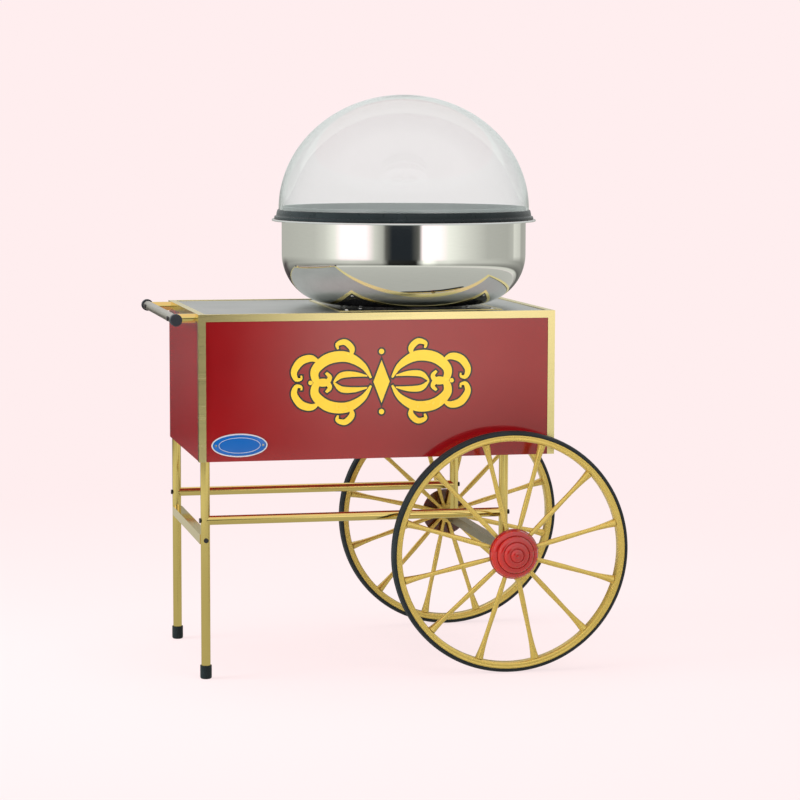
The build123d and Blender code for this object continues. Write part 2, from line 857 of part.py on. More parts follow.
def bowl_ring():
    """The rubber ring round the rim, with a groove that the dome stands in."""
    groove_in = dome_r - dome_wall - seat_gap
    groove_out = dome_r + seat_gap
    outline = Polyline((bowl_r, flange_z), (ring_foot_r, flange_z), (ring_top_r, bowl_top_z),
                       (groove_out, bowl_top_z), (groove_out, dome_z), (groove_in, dome_z),
                       (groove_in, bowl_top_z), (bowl_r, bowl_top_z), close=True)
    return Pos(machine_x, 0, 0) * turned(outline)


def dome_half(r, rise):
    """The upper half of an ellipsoid on a plain skirt, with a small flat at its crown."""
    sweep = math.degrees(math.acos(dome_crown_r / r))
    arc = EllipticalCenterArc((0, dome_spring_z), r, rise, 0, arc_size=sweep)
    crown_z = (arc @ 1).Y
    return turned(
        Polyline((0, dome_z), (r, dome_z), (r, dome_spring_z)),
        arc,
        Polyline((dome_crown_r, crown_z), (0, crown_z), (0, dome_z)),
    )


def dome():
    shell = dome_half(dome_r, dome_rise) - dome_half(dome_r - dome_wall, dome_rise - dome_wall)
    return Pos(machine_x, 0, 0) * shell


# ---------------------------------------------------------------- controls on the operator's side
def control_plate():
    half_w = control_w / 2
    half_h = control_h / 2
    plate = block(control_x - half_w, control_x + half_w, panel_y, control_y,
                  control_z - half_h, control_z + half_h)
    body_w = rocker_w / 2 + switch_wall + hole_gap
    body_h = rocker_r + switch_wall + hole_gap
    plate -= block(control_x + rocker_x - body_w, control_x + rocker_x + body_w,
                   panel_y - 1, control_y + 1, control_z - body_h, control_z + body_h)
    return plate - rod_y(control_x + knob_x, panel_y - 1, control_y + 1, control_z, bushing_r + hole_gap)


def switch_bodies():
    x = control_x + rocker_x
    z = control_z
    half_w = rocker_w / 2 + switch_wall
    half_h = rocker_r + switch_wall
    depth = rocker_r + switch_wall
    body = block(x - half_w, x + half_w, control_y - depth, control_y, z - half_h, z + half_h)
    body += block(x - half_w - bezel_margin, x + half_w + bezel_margin, control_y, control_y + bezel_t,
                  z - half_h - bezel_margin, z + half_h + bezel_margin)
    room_w = rocker_w / 2 + seat_gap
    room_r = rocker_r + seat_gap
    body -= rod_x(x - room_w, x + room_w, control_y, z, room_r)
    body -= block(x - room_w, x + room_w, control_y, control_y + bezel_t + 1, z - room_r, z + room_r)
    pin_half = rocker_w / 2 + rocker_pin + seat_gap
    body -= rod_x(x - pin_half, x + pin_half, control_y, z, rocker_pin_r + running_fit)

    x = control_x + knob_x
    half = rotary_w / 2
    rotary = block(x - half, x + half, panel_y - rotary_depth, panel_y, z - half, z + half)
    rotary += rod_y(x, panel_y, control_y + bushing_h, z, bushing_r)
    rotary -= rod_y(x, control_y - spindle_length - seat_gap, control_y + bushing_h + 1, z,
                    spindle_r + running_fit)
    return group([body, rotary])


def power_rocker():
    """The key is round about its pivot below and dips to the middle above, tilted to off."""
    side = math.sqrt(rocker_r ** 2 - rocker_tip ** 2)
    arc = ThreePointArc((-side, rocker_tip), (0, -rocker_r), (side, rocker_tip))
    dip = Polyline((side, rocker_tip), (0, rocker_dip), (-side, rocker_tip))
    key = extrude(make_face([arc, dip]), rocker_w / 2, both=True)
    key += Cylinder(rocker_pin_r, rocker_w + 2 * rocker_pin)
    pivot = (control_x + rocker_x, control_y, control_z)
    upright = Plane(origin=pivot, x_dir=(0, 0, 1), z_dir=(-1, 0, 0))
    return upright.location * Rot(0, 0, rocker_tilt) * key


def heat_knob():
    x = control_x + knob_x
    back = control_y + seat_gap
    knob = rod_y(x, back, back + knob_h, control_z, knob_r)
    knob = fillet(knob.edges().sort_by(Axis.Y)[-1], knob_pointer_t)
    knob += block(x - knob_pointer_w / 2, x + knob_pointer_w / 2, back + knob_h - 1,
                  back + knob_h + knob_pointer_t, control_z, control_z + knob_r - knob_pointer_t)
    knob -= rod_y(x, back - 1, control_y + bushing_h + seat_gap, control_z, bushing_r + seat_gap)
    return knob + rod_y(x, control_y - spindle_length, back + knob_h / 2, control_z, spindle_r)


def power_inlet():
    """A socket for a lead: flange outside the panel, cup through it, three pins in the cup."""
    x = control_x
    flange_y = panel_y + inlet_flange_t
    low_y = flange_y - inlet_depth
    cup = block(x - inlet_w / 2, x + inlet_w / 2, low_y, panel_y,
                inlet_z - inlet_h / 2, inlet_z + inlet_h / 2)
    cup += block(x - inlet_flange_w / 2, x + inlet_flange_w / 2, panel_y, flange_y,
                 inlet_z - inlet_flange_h / 2, inlet_z + inlet_flange_h / 2)
    room_w = inlet_w / 2 - inlet_wall
    room_h = inlet_h / 2 - inlet_wall
    cup -= block(x - room_w, x + room_w, low_y + inlet_wall, flange_y + 1,
                 inlet_z - room_h, inlet_z + room_h)
    for i in (-1, 0, 1):
        pin_x = x + i * inlet_pin_spacing
        pin_z = inlet_z + (inlet_pin_w if i == 0 else -inlet_pin_w)
        cup += block(pin_x - inlet_pin_w / 2, pin_x + inlet_pin_w / 2, low_y + inlet_wall - 1,
                     panel_y - inlet_wall, pin_z - inlet_pin_h / 2, pin_z + inlet_pin_h / 2)
    return cup


# ---------------------------------------------------------------- storage door
def hinge_leaves(side, knuckles):
    """Both leaves on one side of the pins; knuckles are pairs of heights within a leaf."""
    leaves = []
    for low in hinge_lows:
        leaf = block(hinge_x + side * knuckle_clear, hinge_x + side * hinge_leaf_w, panel_y,
                     panel_y + hinge_leaf_t, low, low + hinge_height)
        for z0, z1 in knuckles:
            leaf += block(hinge_x, hinge_x + side * hinge_leaf_w, panel_y + seat_gap,
                          panel_y + hinge_leaf_t, low + z0, low + z1)
            leaf += rod_z(hinge_x, hinge_y, low + z0, low + z1, knuckle_r)
            leaf -= rod_z(hinge_x, hinge_y, low + z0 - 1, low + z1 + 1, hinge_pin_r + running_fit)
        leaves.append(leaf)
    return leaves


def door_hinges():
    """The fixed leaves, and the pins in their knuckles."""
    third = hinge_height / 3
    leaves = hinge_leaves(-1, [(0, third - seat_gap), (2 * third + seat_gap, hinge_height)])
    pins = [rod_z(hinge_x, hinge_y, low, low + hinge_height, hinge_pin_r) for low in hinge_lows]
    return group(leaves + pins)


def door():
    """A folded pan that lies flush in its opening, with the moving hinge leaves on it."""
    half_w = door_w / 2
    half_h = door_h / 2
    pan = block(door_x - half_w, door_x + half_w, panel_y - door_return, panel_y,
                door_z - half_h, door_z + half_h)
    pan -= block(door_x - half_w + panel_t, door_x + half_w - panel_t, panel_y - door_return - 1,
                 panel_y - panel_t, door_z - half_h + panel_t, door_z + half_h - panel_t)
    third = hinge_height / 3
    for leaf in hinge_leaves(1, [(third, 2 * third)]):
        pan += leaf
    return pan


def door_knob():
    x = door_x + door_w / 2 - door_knob_inset
    end = panel_y + door_knob_reach
    neck = rod_y(x, panel_y, end, door_z, door_knob_neck_r)
    grip = rod_y(x, end - door_knob_t, end, door_z, door_knob_r)
    return neck + fillet(grip.edges(), door_knob_t / 3)


# ---------------------------------------------------------------- write the pieces
def cart_pieces():
    foot_z = foot_sole
    beam_top = axle_z + square_w / 2
    return {
        "front_panel": front_panel(),
        "back_panel": back_panel(),
        "left_panel": end_panel(-1),
        "right_panel": end_panel(1),
        "bottom_panel": bottom_panel(),
        "top_plate": top_plate(),
        "top_trim": top_trim(),
        "corner_trims": corner_trims(),
        "leg_front_left": leg(left_leg_x, -1, foot_z),
        "leg_back_left": leg(left_leg_x, 1, foot_z),
        "leg_front_right": leg(axle_x, -1, beam_top),
        "leg_back_right": leg(axle_x, 1, beam_top),
        "rubber_feet": rubber_feet(),
        "stretcher_front": stretcher(-1),
        "stretcher_back": stretcher(1),
        "left_cross_rail": left_cross_rail(),
        "axle_beam": axle_beam(),
        "axle": axle(),
        "axle_spacers": axle_spacers(),
        "axle_nuts": axle_nuts(),
        "frame_bolts": frame_bolts(),
        "handle_bar": handle_bar(),
        "handle_spacers": handle_spacers(),
        "handle_end_caps": handle_end_caps(),
        "badge_plate": badge_plate(),
        "badge_rivets": badge_rivets(),
    }


def machine_pieces():
    return {
        "well_trim": well_trim(),
        "machine_deck": machine_deck(),
        "machine_housing": machine_housing(),
        "deck_screws": deck_screws(),
        "motor": motor(),
        "motor_bracket": motor_bracket(),
        "brush_holder": brush_holder(),
        "spinner_shaft": spinner_shaft(),
        "slip_rings": slip_rings(),
        "spinner_dish": spinner_dish(),
        "heater_ribbon": heater_ribbon(),
        "spinner_cover": spinner_cover(),
        "bowl": bowl(),
        "bowl_flange": bowl_flange(),
        "bowl_ring": bowl_ring(),
        "dome": dome(),
        "control_plate": control_plate(),
        "switch_bodies": switch_bodies(),
        "power_rocker": power_rocker(),
        "heat_knob": heat_knob(),
        "power_inlet": power_inlet(),
        "door_hinges": door_hinges(),
        "door": door(),
        "door_knob": door_knob(),
    }


def wheel_pieces(side, name, phase):
    pieces = {"tyre": tyre(), "rim": rim(), "spokes": spokes(phase), "hub": hub(), "hub_cap": hub_cap()}
    return {f"{name}_{part}": on_axle(side, shape) for part, shape in pieces.items()}


os.makedirs("parts", exist_ok=True)
pieces = cart_pieces() | machine_pieces()
pieces |= wheel_pieces(-1, "front_wheel", spoke_phase_front)
pieces |= wheel_pieces(1, "back_wheel", -spoke_phase_back)
for name, shape in pieces.items():
    save(name, shape)
print(f"origin is {origin_x:.2f} mm from the cabinet's centre along x")
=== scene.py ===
import math

import bmesh
import bpy
from mathutils import Euler, Matrix, Vector


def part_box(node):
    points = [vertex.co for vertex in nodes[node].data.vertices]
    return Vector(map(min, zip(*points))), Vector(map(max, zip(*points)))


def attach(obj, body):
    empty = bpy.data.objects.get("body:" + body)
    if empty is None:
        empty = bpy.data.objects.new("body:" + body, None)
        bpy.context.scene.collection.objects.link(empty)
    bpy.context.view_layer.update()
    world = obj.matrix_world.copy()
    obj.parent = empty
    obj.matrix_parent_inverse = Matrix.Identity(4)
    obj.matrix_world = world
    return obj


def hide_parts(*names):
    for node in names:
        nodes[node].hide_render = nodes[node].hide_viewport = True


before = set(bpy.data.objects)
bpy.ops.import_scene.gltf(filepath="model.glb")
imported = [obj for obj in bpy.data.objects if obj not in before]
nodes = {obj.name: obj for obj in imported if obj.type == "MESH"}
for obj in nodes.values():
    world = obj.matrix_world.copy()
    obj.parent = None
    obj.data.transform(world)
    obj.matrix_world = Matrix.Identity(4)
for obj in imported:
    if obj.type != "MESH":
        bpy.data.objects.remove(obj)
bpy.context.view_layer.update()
scene = bpy.context.scene

MM = 0.001
X, Y, Z = 0, 1, 2


def span(node, axis):
    """Where a CAD node starts and ends along an axis, in mm."""
    low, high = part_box(node)
    return round(low[axis] / MM, 2), round(high[axis] / MM, 2)


def middle(node, axis):
    return round(sum(span(node, axis)) / 2, 2)


# sizes and places in mm, read from the CAD nodes
MACHINE_X = middle("bowl", X)
BOWL_R = span("bowl", X)[1] - MACHINE_X
BOWL_LOW, BOWL_TOP = span("bowl", Z)
FLANGE_R = span("bowl_flange", X)[1] - MACHINE_X
FLANGE_LOW, FLANGE_TOP = span("bowl_flange", Z)
RING_R = span("bowl_ring", X)[1] - MACHINE_X
RING_LOW, RING_TOP = span("bowl_ring", Z)
DOME_R = span("dome", X)[1] - MACHINE_X
DOME_LOW, DOME_BOX_TOP = span("dome", Z)
AXLE = (middle("front_wheel_hub_cap", X), middle("front_wheel_hub_cap", Z))
WHEEL_R = AXLE[1]
WHEEL_PLANE = middle("back_wheel_tyre", Y)
FRONT_Y = span("front_panel", Y)[0]
BADGE = (middle("badge_rivets", X), middle("badge_rivets", Z))
BADGE_FACE_Y = span("badge_plate", Y)[0]
CONTROL_FACE_Y = span("control_plate", Y)[1]
KNOB = (middle("heat_knob", X), middle("heat_knob", Z))
ROCKER = (middle("power_rocker", X), middle("power_rocker", Z))
SCREW_REACH = span("deck_screws", X)[1] - MACHINE_X
SCREW_LOW, SCREW_TOP = span("deck_screws", Z)

# sizes in mm that no node gives
BOWL_CORNER = 105
BOWL_HOLE = 75
SHEET = 1.5
DOME_WALL = 3
DOME_SPRING = RING_TOP + 1
# a hair under the CAD's own top, so that the dome stays inside its box
DOME_TOP = round(DOME_BOX_TOP - 0.01, 2)
ORNAMENT = (-39.25, 606)
# the screws that hold the housing, from the machine's axis
HOUSING_SCREW = (115, 105)
ROUND_STEPS = 256


# ---------------------------------------------------------------- node helpers
def tree(name):
    m = bpy.data.materials.new(name)
    m.use_nodes = True
    nt = m.node_tree
    return m, nt, nt.nodes["Principled BSDF"]


def put(nt, kind, **settings):
    n = nt.nodes.new(kind)
    for key, value in settings.items():
        setattr(n, key, value)
    return n


def math_node(nt, operation, *values):
    """A math node over sockets and plain numbers."""
    n = put(nt, "ShaderNodeMath", operation=operation)
    for i, value in enumerate(values):
        if isinstance(value, (int, float)):
            n.inputs[i].default_value = value
        else:
            nt.links.new(value, n.inputs[i])
    return n.outputs[0]


def place(nt, scale=(1, 1, 1)):
    """Object coordinates, stretched so that a pattern can run along one direction."""
    co = put(nt, "ShaderNodeTexCoord")
    mp = put(nt, "ShaderNodeMapping")
    mp.inputs["Scale"].default_value = scale
    nt.links.new(co.outputs["Object"], mp.inputs["Vector"])
    return mp.outputs["Vector"]


def noise(nt, vector, scale, detail=3.0, rough=0.55):
    n = put(nt, "ShaderNodeTexNoise")
    n.inputs["Scale"].default_value = scale
    n.inputs["Detail"].default_value = detail
    n.inputs["Roughness"].default_value = rough
    nt.links.new(vector, n.inputs["Vector"])
    return n.outputs["Fac"]


def ramp(nt, fac, stops):
    r = put(nt, "ShaderNodeValToRGB")
    e = r.color_ramp.elements
    e[0].position, e[0].color = stops[0][0], (*stops[0][1], 1)
    e[1].position, e[1].color = stops[-1][0], (*stops[-1][1], 1)
    for pos, col in stops[1:-1]:
        e.new(pos).color = (*col, 1)
    nt.links.new(fac, r.inputs["Fac"])
    return r.outputs["Color"]


def spread(nt, fac, low, high, from_low=0.3, from_high=0.7):
    r = put(nt, "ShaderNodeMapRange")
    r.inputs["From Min"].default_value = from_low
    r.inputs["From Max"].default_value = from_high
    r.inputs["To Min"].default_value = low
    r.inputs["To Max"].default_value = high
    nt.links.new(fac, r.inputs["Value"])
    return r.outputs["Result"]


def bump(nt, bsdf, height, strength, distance):
    b = put(nt, "ShaderNodeBump")
    b.inputs["Strength"].default_value = strength
    b.inputs["Distance"].default_value = distance
    nt.links.new(height, b.inputs["Height"])
    nt.links.new(b.outputs["Normal"], bsdf.inputs["Normal"])


def darker_inside(nt, tone, share):
    """Painted shade: scale a colour down on faces that look towards the middle plane of the cart, as in the
    hollow of a hub cap.
    """
    geo = put(nt, "ShaderNodeNewGeometry")
    flat = [put(nt, "ShaderNodeSeparateXYZ") for _ in range(2)]
    nt.links.new(geo.outputs["Normal"], flat[0].inputs[0])
    nt.links.new(geo.outputs["Position"], flat[1].inputs[0])
    outward = math_node(nt, "MULTIPLY", flat[0].outputs["Y"], flat[1].outputs["Y"])
    scaled = put(nt, "ShaderNodeVectorMath", operation="SCALE")
    nt.links.new(tone, scaled.inputs[0])
    nt.links.new(spread(nt, outward, share, 1, -0.02, 0.005), scaled.inputs["Scale"])
    return scaled.outputs[0]


# ---------------------------------------------------------------- materials
def paint(name, deep, light, rough=(0.10, 0.15), coat=0.8, peel=0.012, inside=1.0):
    """Sprayed gloss paint: slow shifts of tone, orange peel, a clear top coat, and painted shade on faces
    turned towards the cart's middle when inside is below 1.
    """
    m, nt, p = tree(name)
    v = place(nt)
    slow = noise(nt, v, 5.0, 4.0)
    tone = ramp(nt, slow, [(0.3, deep), (0.7, light)])
    # inside below 1 darkens faces turned towards the cart's middle, as painted shade
    if inside < 1:
        tone = darker_inside(nt, tone, inside)
    nt.links.new(tone, p.inputs["Base Color"])
    nt.links.new(spread(nt, noise(nt, v, 22.0), *rough), p.inputs["Roughness"])
    bump(nt, p, noise(nt, v, 420.0, 2.0), peel, 0.002)
    p.inputs["Coat Weight"].default_value = coat
    p.inputs["Coat Roughness"].default_value = 0.06
    p.inputs["IOR"].default_value = 1.5
    return m


def metal(name, deep, light, rough=(0.2, 0.3), stretch=(1, 1, 1), grain=260.0, strength=0.03,
          metallic=1.0, coat=0.0):
    """Metal with fine grain drawn out along one direction."""
    m, nt, p = tree(name)
    v = place(nt, stretch)
    fine = noise(nt, v, grain, 4.0, 0.65)
    slow = noise(nt, place(nt), 9.0, 3.0)
    both = math_node(nt, "MULTIPLY", math_node(nt, "ADD", fine, slow), 0.5)
    nt.links.new(ramp(nt, both, [(0.35, deep), (0.65, light)]), p.inputs["Base Color"])
    nt.links.new(spread(nt, fine, *rough), p.inputs["Roughness"])
    bump(nt, p, fine, strength, 0.001)
    p.inputs["Metallic"].default_value = metallic
    p.inputs["Coat Weight"].default_value = coat
    p.inputs["Coat Roughness"].default_value = 0.08
    return m


def dull(name, deep, light, rough=(0.45, 0.6), grain=300.0, strength=0.08, shine=0.5):
    """Rubber or moulded plastic with a fine grain."""
    m, nt, p = tree(name)
    v = place(nt)
    nt.links.new(ramp(nt, noise(nt, v, 14.0, 4.0), [(0.3, deep), (0.7, light)]), p.inputs["Base Color"])
    nt.links.new(spread(nt, noise(nt, v, 60.0), *rough), p.inputs["Roughness"])
    bump(nt, p, noise(nt, v, grain, 3.0), strength, 0.001)
    p.inputs["Specular IOR Level"].default_value = shine
    return m


RED = paint("red_paint", (0.218, 0.0030, 0.0052), (0.250, 0.0044, 0.0068))
# the hollow of each hub cap is darkened as painted shade
CAP_RED_SHADED = paint("cap_red_paint_painted_shade", (0.32, 0.005, 0.004), (0.37, 0.009, 0.007), (0.12, 0.17),
                coat=1.0, inside=0.22)
GOLD_TUBE = metal("gold_tube", (0.78, 0.61, 0.205), (0.83, 0.655, 0.23), (0.09, 0.14),
                  stretch=(1, 1, 0.05), grain=200.0, strength=0.006)
GOLD_BAR = metal("gold_bar", (0.78, 0.61, 0.205), (0.83, 0.655, 0.23), (0.09, 0.14),
                 stretch=(0.05, 1, 1), grain=200.0, strength=0.006)
GOLD_WHEEL = metal("gold_wheel_paint", (0.64, 0.465, 0.100), (0.69, 0.510, 0.122), (0.26, 0.30),
                   grain=40.0, strength=0.002, metallic=0.6, coat=0.35)
GOLD_TRIM = metal("gold_trim_anodised", (0.88, 0.76, 0.36), (0.93, 0.81, 0.40), (0.22, 0.28),
                  stretch=(0.04, 0.04, 1), grain=200.0, strength=0.003)
PLATE = metal("brushed_top", (0.42, 0.44, 0.43), (0.52, 0.54, 0.53), (0.30, 0.42),
              stretch=(0.03, 1, 1), grain=700.0, strength=0.06)
STEEL = metal("satin_steel", (0.46, 0.46, 0.46), (0.58, 0.58, 0.57), (0.25, 0.36), grain=400.0)
BRIGHT = metal("bright_steel", (0.66, 0.66, 0.66), (0.76, 0.76, 0.76), (0.10, 0.18),
               grain=300.0, strength=0.02)
HANDLE = metal("brushed_handle", (0.49, 0.465, 0.41), (0.59, 0.56, 0.50), (0.28, 0.38),
               stretch=(1, 0.05, 1), grain=420.0, strength=0.05)
TAUPE = metal("axle_beam_finish", (0.24, 0.205, 0.125), (0.33, 0.285, 0.18), (0.26, 0.36),
              stretch=(1, 0.06, 1), strength=0.012)
GALVANISED = metal("galvanised", (0.40, 0.42, 0.43), (0.58, 0.60, 0.61), (0.38, 0.5), grain=60.0)
TYRE = dull("tyre_rubber", (0.008, 0.012, 0.013), (0.014, 0.019, 0.021), (0.36, 0.48),
            260.0, 0.08, shine=0.22)
RUBBER = dull("black_rubber", (0.006, 0.010, 0.011), (0.011, 0.017, 0.019), (0.24, 0.34),
              260.0, 0.04, shine=0.22)
PLASTIC = dull("black_plastic", (0.014, 0.017, 0.022), (0.022, 0.027, 0.034), (0.30, 0.42), 340.0, 0.04)
BLACK_METAL = metal("black_metal", (0.012, 0.012, 0.013), (0.022, 0.022, 0.024), (0.28, 0.40),
                    grain=300.0, metallic=0.3, coat=0.3)
DECK = metal("deck_enamel", (0.010, 0.010, 0.011), (0.020, 0.020, 0.021), (0.22, 0.34),
             grain=200.0, metallic=0.2, coat=0.5)
BRASS = metal("brass_rings", (0.60, 0.40, 0.14), (0.76, 0.55, 0.23), (0.16, 0.28),
              stretch=(1, 1, 12), grain=300.0, strength=0.05)
ALUMINIUM = metal("turned_aluminium", (0.60, 0.60, 0.60), (0.74, 0.74, 0.74), (0.24, 0.36),
                  stretch=(1, 1, 10), grain=320.0, strength=0.05)
HEATER = metal("heat_tinted", (0.20, 0.16, 0.15), (0.38, 0.30, 0.24), (0.30, 0.46),
               grain=120.0, strength=0.04)


def polished(name):
    """Polished stainless steel with faint rings from the polishing wheel."""
    m, nt, p = tree(name)
    v = place(nt, (1, 1, 30))
    fine = noise(nt, v, 46.0, 3.0)
    tone = ramp(nt, fine, [(0.3, (0.77, 0.78, 0.765)), (0.7, (0.80, 0.81, 0.795))])
    nt.links.new(tone, p.inputs["Base Color"])
    nt.links.new(spread(nt, fine, 0.03, 0.06), p.inputs["Roughness"])
    bump(nt, p, noise(nt, place(nt, (1, 1, 0.35)), 5.0, 2.0), 0.03, 0.004)
    p.inputs["Metallic"].default_value = 1.0
    return m


def clear(name):
    """Clear moulded plastic with a slow waviness."""
    m, nt, p = tree(name)
    v = place(nt)
    tint = [(0.3, (0.925, 0.990, 0.983)), (0.7, (0.938, 0.998, 0.992))]
    nt.links.new(ramp(nt, noise(nt, v, 3.0, 2.0), tint), p.inputs["Base Color"])
    nt.links.new(spread(nt, noise(nt, v, 8.0), 0.0, 0.02), p.inputs["Roughness"])
    bump(nt, p, noise(nt, v, 6.0, 1.0), 0.10, 0.006)
    p.inputs["IOR"].default_value = 1.49
    p.inputs["Transmission Weight"].default_value = 1.0
    return m


POLISHED = polished("polished_steel")
# satin inner finish of the bowl; its tone, darker than the polished outside, is painted shade
BOWL_INSIDE_SHADED = metal("satin_bowl_inside_painted_shade", (0.44, 0.42, 0.425), (0.50, 0.48, 0.485), (0.28, 0.38),
                    stretch=(1, 1, 14), grain=60.0, strength=0.01)
CLEAR = clear("clear_dome")
SILVER = metal("badge_silver", (0.62, 0.64, 0.66), (0.72, 0.74, 0.76), (0.30, 0.40),
               grain=300.0, strength=0.02, metallic=0.35)
BADGE_BLUE = paint("badge_enamel", (0.001, 0.080, 0.33), (0.002, 0.105, 0.39), (0.12, 0.2),
                   coat=0.15, peel=0.006)


# ---------------------------------------------------------------- shape helpers
def dress(o, material):
    o.data.materials.clear()
    o.data.materials.append(material)


def smooth(o, angle=32):
    """Smooth shading, kept crisp at edges sharper than the angle."""
    mesh = o.data
    mesh.polygons.foreach_set("use_smooth", [True] * len(mesh.polygons))
    limit = math.radians(angle)
    bm = bmesh.new()
    bm.from_mesh(mesh)
    sharp = [e.index for e in bm.edges if len(e.link_faces) != 2 or e.calc_face_angle(0) > limit]
    bm.free()
    flags = [False] * len(mesh.edges)
    for i in sharp:
        flags[i] = True
    mesh.edges.foreach_set("use_edge_sharp", flags)


def mesh_piece(name, verts, faces, material, body):
    mesh = bpy.data.meshes.new(name)
    mesh.from_pydata([[c * MM for c in v] for v in verts], [], faces)
    mesh.validate()
    o = bpy.data.objects.new(name, mesh)
    scene.collection.objects.link(o)
    bm = bmesh.new()
    bm.from_mesh(mesh)
    bmesh.ops.recalc_face_normals(bm, faces=bm.faces)
    bm.to_mesh(mesh)
    bm.free()
    mesh.materials.append(material)
    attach(o, body)
    return o


def ring_faces(rows, points, start=0):
    """Quads between neighbouring rows of points, where every row is a closed ring."""
    return [(start + i * points + k, start + i * points + (k + 1) % points,
             start + (i + 1) * points + (k + 1) % points, start + (i + 1) * points + k)
            for i in range(rows - 1) for k in range(points)]


def tube_faces(steps, points):
    """Quads of a closed outline of points, swept round a closed path in steps."""
    return [(k * points + i, k * points + (i + 1) % points,
             (k + 1) % steps * points + (i + 1) % points, (k + 1) % steps * points + i)
            for k in range(steps) for i in range(points)]


def lathe(name, loop, centre, material, body, axis="Z", side=1):
    """Turn a closed outline of (radius, height) points about an axis through centre."""
    verts = []
    for k in range(ROUND_STEPS):
        a = 2 * math.pi * k / ROUND_STEPS
        for r, h in loop:
            x, y = r * math.cos(a), r * math.sin(a)
            if axis == "Z":
                verts.append((centre[0] + x, centre[1] + y, h))
            else:
                verts.append((centre[0] + x, side * h, centre[1] + y))
    o = mesh_piece(name, verts, tube_faces(ROUND_STEPS, len(loop)), material, body)
    smooth(o, 30)
    return o


def arc(cx, cy, r, a0, a1, steps):
    return [(cx + r * math.cos(math.radians(a0 + (a1 - a0) * i / steps)),
             cy + r * math.sin(math.radians(a0 + (a1 - a0) * i / steps))) for i in range(steps + 1)]


def rounded(points, r, steps=4):
    """An outline with its corners rounded; points are (x, y) or (x, y, own radius)."""
    out = []
    n = len(points)
    for i, pt in enumerate(points):
        p = Vector(pt[:2])
        own = pt[2] if len(pt) > 2 else r
        a, b = Vector(points[i - 1][:2]) - p, Vector(points[(i + 1) % n][:2]) - p
        cut = min(own, a.length * 0.45, b.length * 0.45)
        if own <= 0 or cut < 1e-4:
            out.append(tuple(p))
            continue
        s, e = p + a.normalized() * cut, p + b.normalized() * cut
        for k in range(steps + 1):
            t = k / steps
            out.append(tuple((1 - t) ** 2 * s + 2 * t * (1 - t) * p + t * t * e))
    return out


# ---------------------------------------------------------------- bowl, ring and dome
def bowl_piece():
    """The bowl with its flange in one turned piece: outside, flange, edge above the ring, inside."""
    centre = (BOWL_R - BOWL_CORNER, BOWL_LOW + BOWL_CORNER)
    lip = [(-1.6, 2.5), (-1.5, 0.2), (-0.8, 0), (0, 0.4), (0, 2.8), (-0.4, 3.6), (-1.2, 4)]
    edge = [(0, -0.7), (-0.3, -0.1), (-0.8, 0), (-1.3, -0.2), (-SHEET, -0.8)]
    loop = [(BOWL_HOLE, BOWL_LOW)] + arc(*centre, BOWL_CORNER, -90, 0, 28) + [(BOWL_R, FLANGE_TOP - SHEET)]
    loop += [(FLANGE_R + r, FLANGE_LOW + z) for r, z in lip]
    loop += [(BOWL_R, FLANGE_TOP), (BOWL_R, RING_TOP)]
    loop += [(BOWL_R + r, BOWL_TOP + z) for r, z in edge]
    loop += arc(*centre, BOWL_CORNER - SHEET, 0, -90, 28) + [(BOWL_HOLE, BOWL_LOW + SHEET)]
    o = lathe("polished_bowl", loop, (MACHINE_X, 0), POLISHED, "bowl")
    # the inner faces and the edge above the ring have a duller satin finish than the polished outside, and
    # a darker tone there that is painted shade
    o.data.materials.append(BOWL_INSIDE_SHADED)
    wall, edge_top, ring_top = (BOWL_R - 0.2) * MM, (BOWL_TOP - 0.2) * MM, (RING_TOP + 1) * MM
    for face in o.data.polygons:
        across = face.center.xy - Vector((MACHINE_X * MM, 0))
        inward = face.normal.xy.dot(across.normalized()) if across.length else 0
        above_ring = face.center.z > ring_top and across.length > wall
        if above_ring or inward - face.normal.z < -0.02 and face.center.z < edge_top:
            face.material_index = 1
    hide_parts("bowl", "bowl_flange")


def ring_piece():
    """The rubber ring: a lip at the foot, a sloping outside, and a groove that the dome stands in."""
    outside = [(-0.4, 0.1), (0, 1.2), (-0.4, 5.2), (-1.4, 6.6), (-3.8, 7.0), (-4.6, 8.2), (-5.2, 13.5),
               (-6.6, 18.6), (-7.8, 20)]
    inner, play = BOWL_R + 0.1, 0.3
    groove = [(DOME_R + play, RING_TOP), (DOME_R + play, DOME_LOW), (DOME_R - DOME_WALL - play, DOME_LOW),
              (DOME_R - DOME_WALL - play, RING_TOP)]
    loop = [(inner, RING_LOW + 0.1)] + [(RING_R + r, RING_LOW + z) for r, z in outside]
    loop += groove + [(inner, RING_TOP)]
    o = lathe("rubber_rim_ring", rounded(loop, 0.7, 3), (MACHINE_X, 0), RUBBER, "bowl")
    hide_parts("bowl_ring")


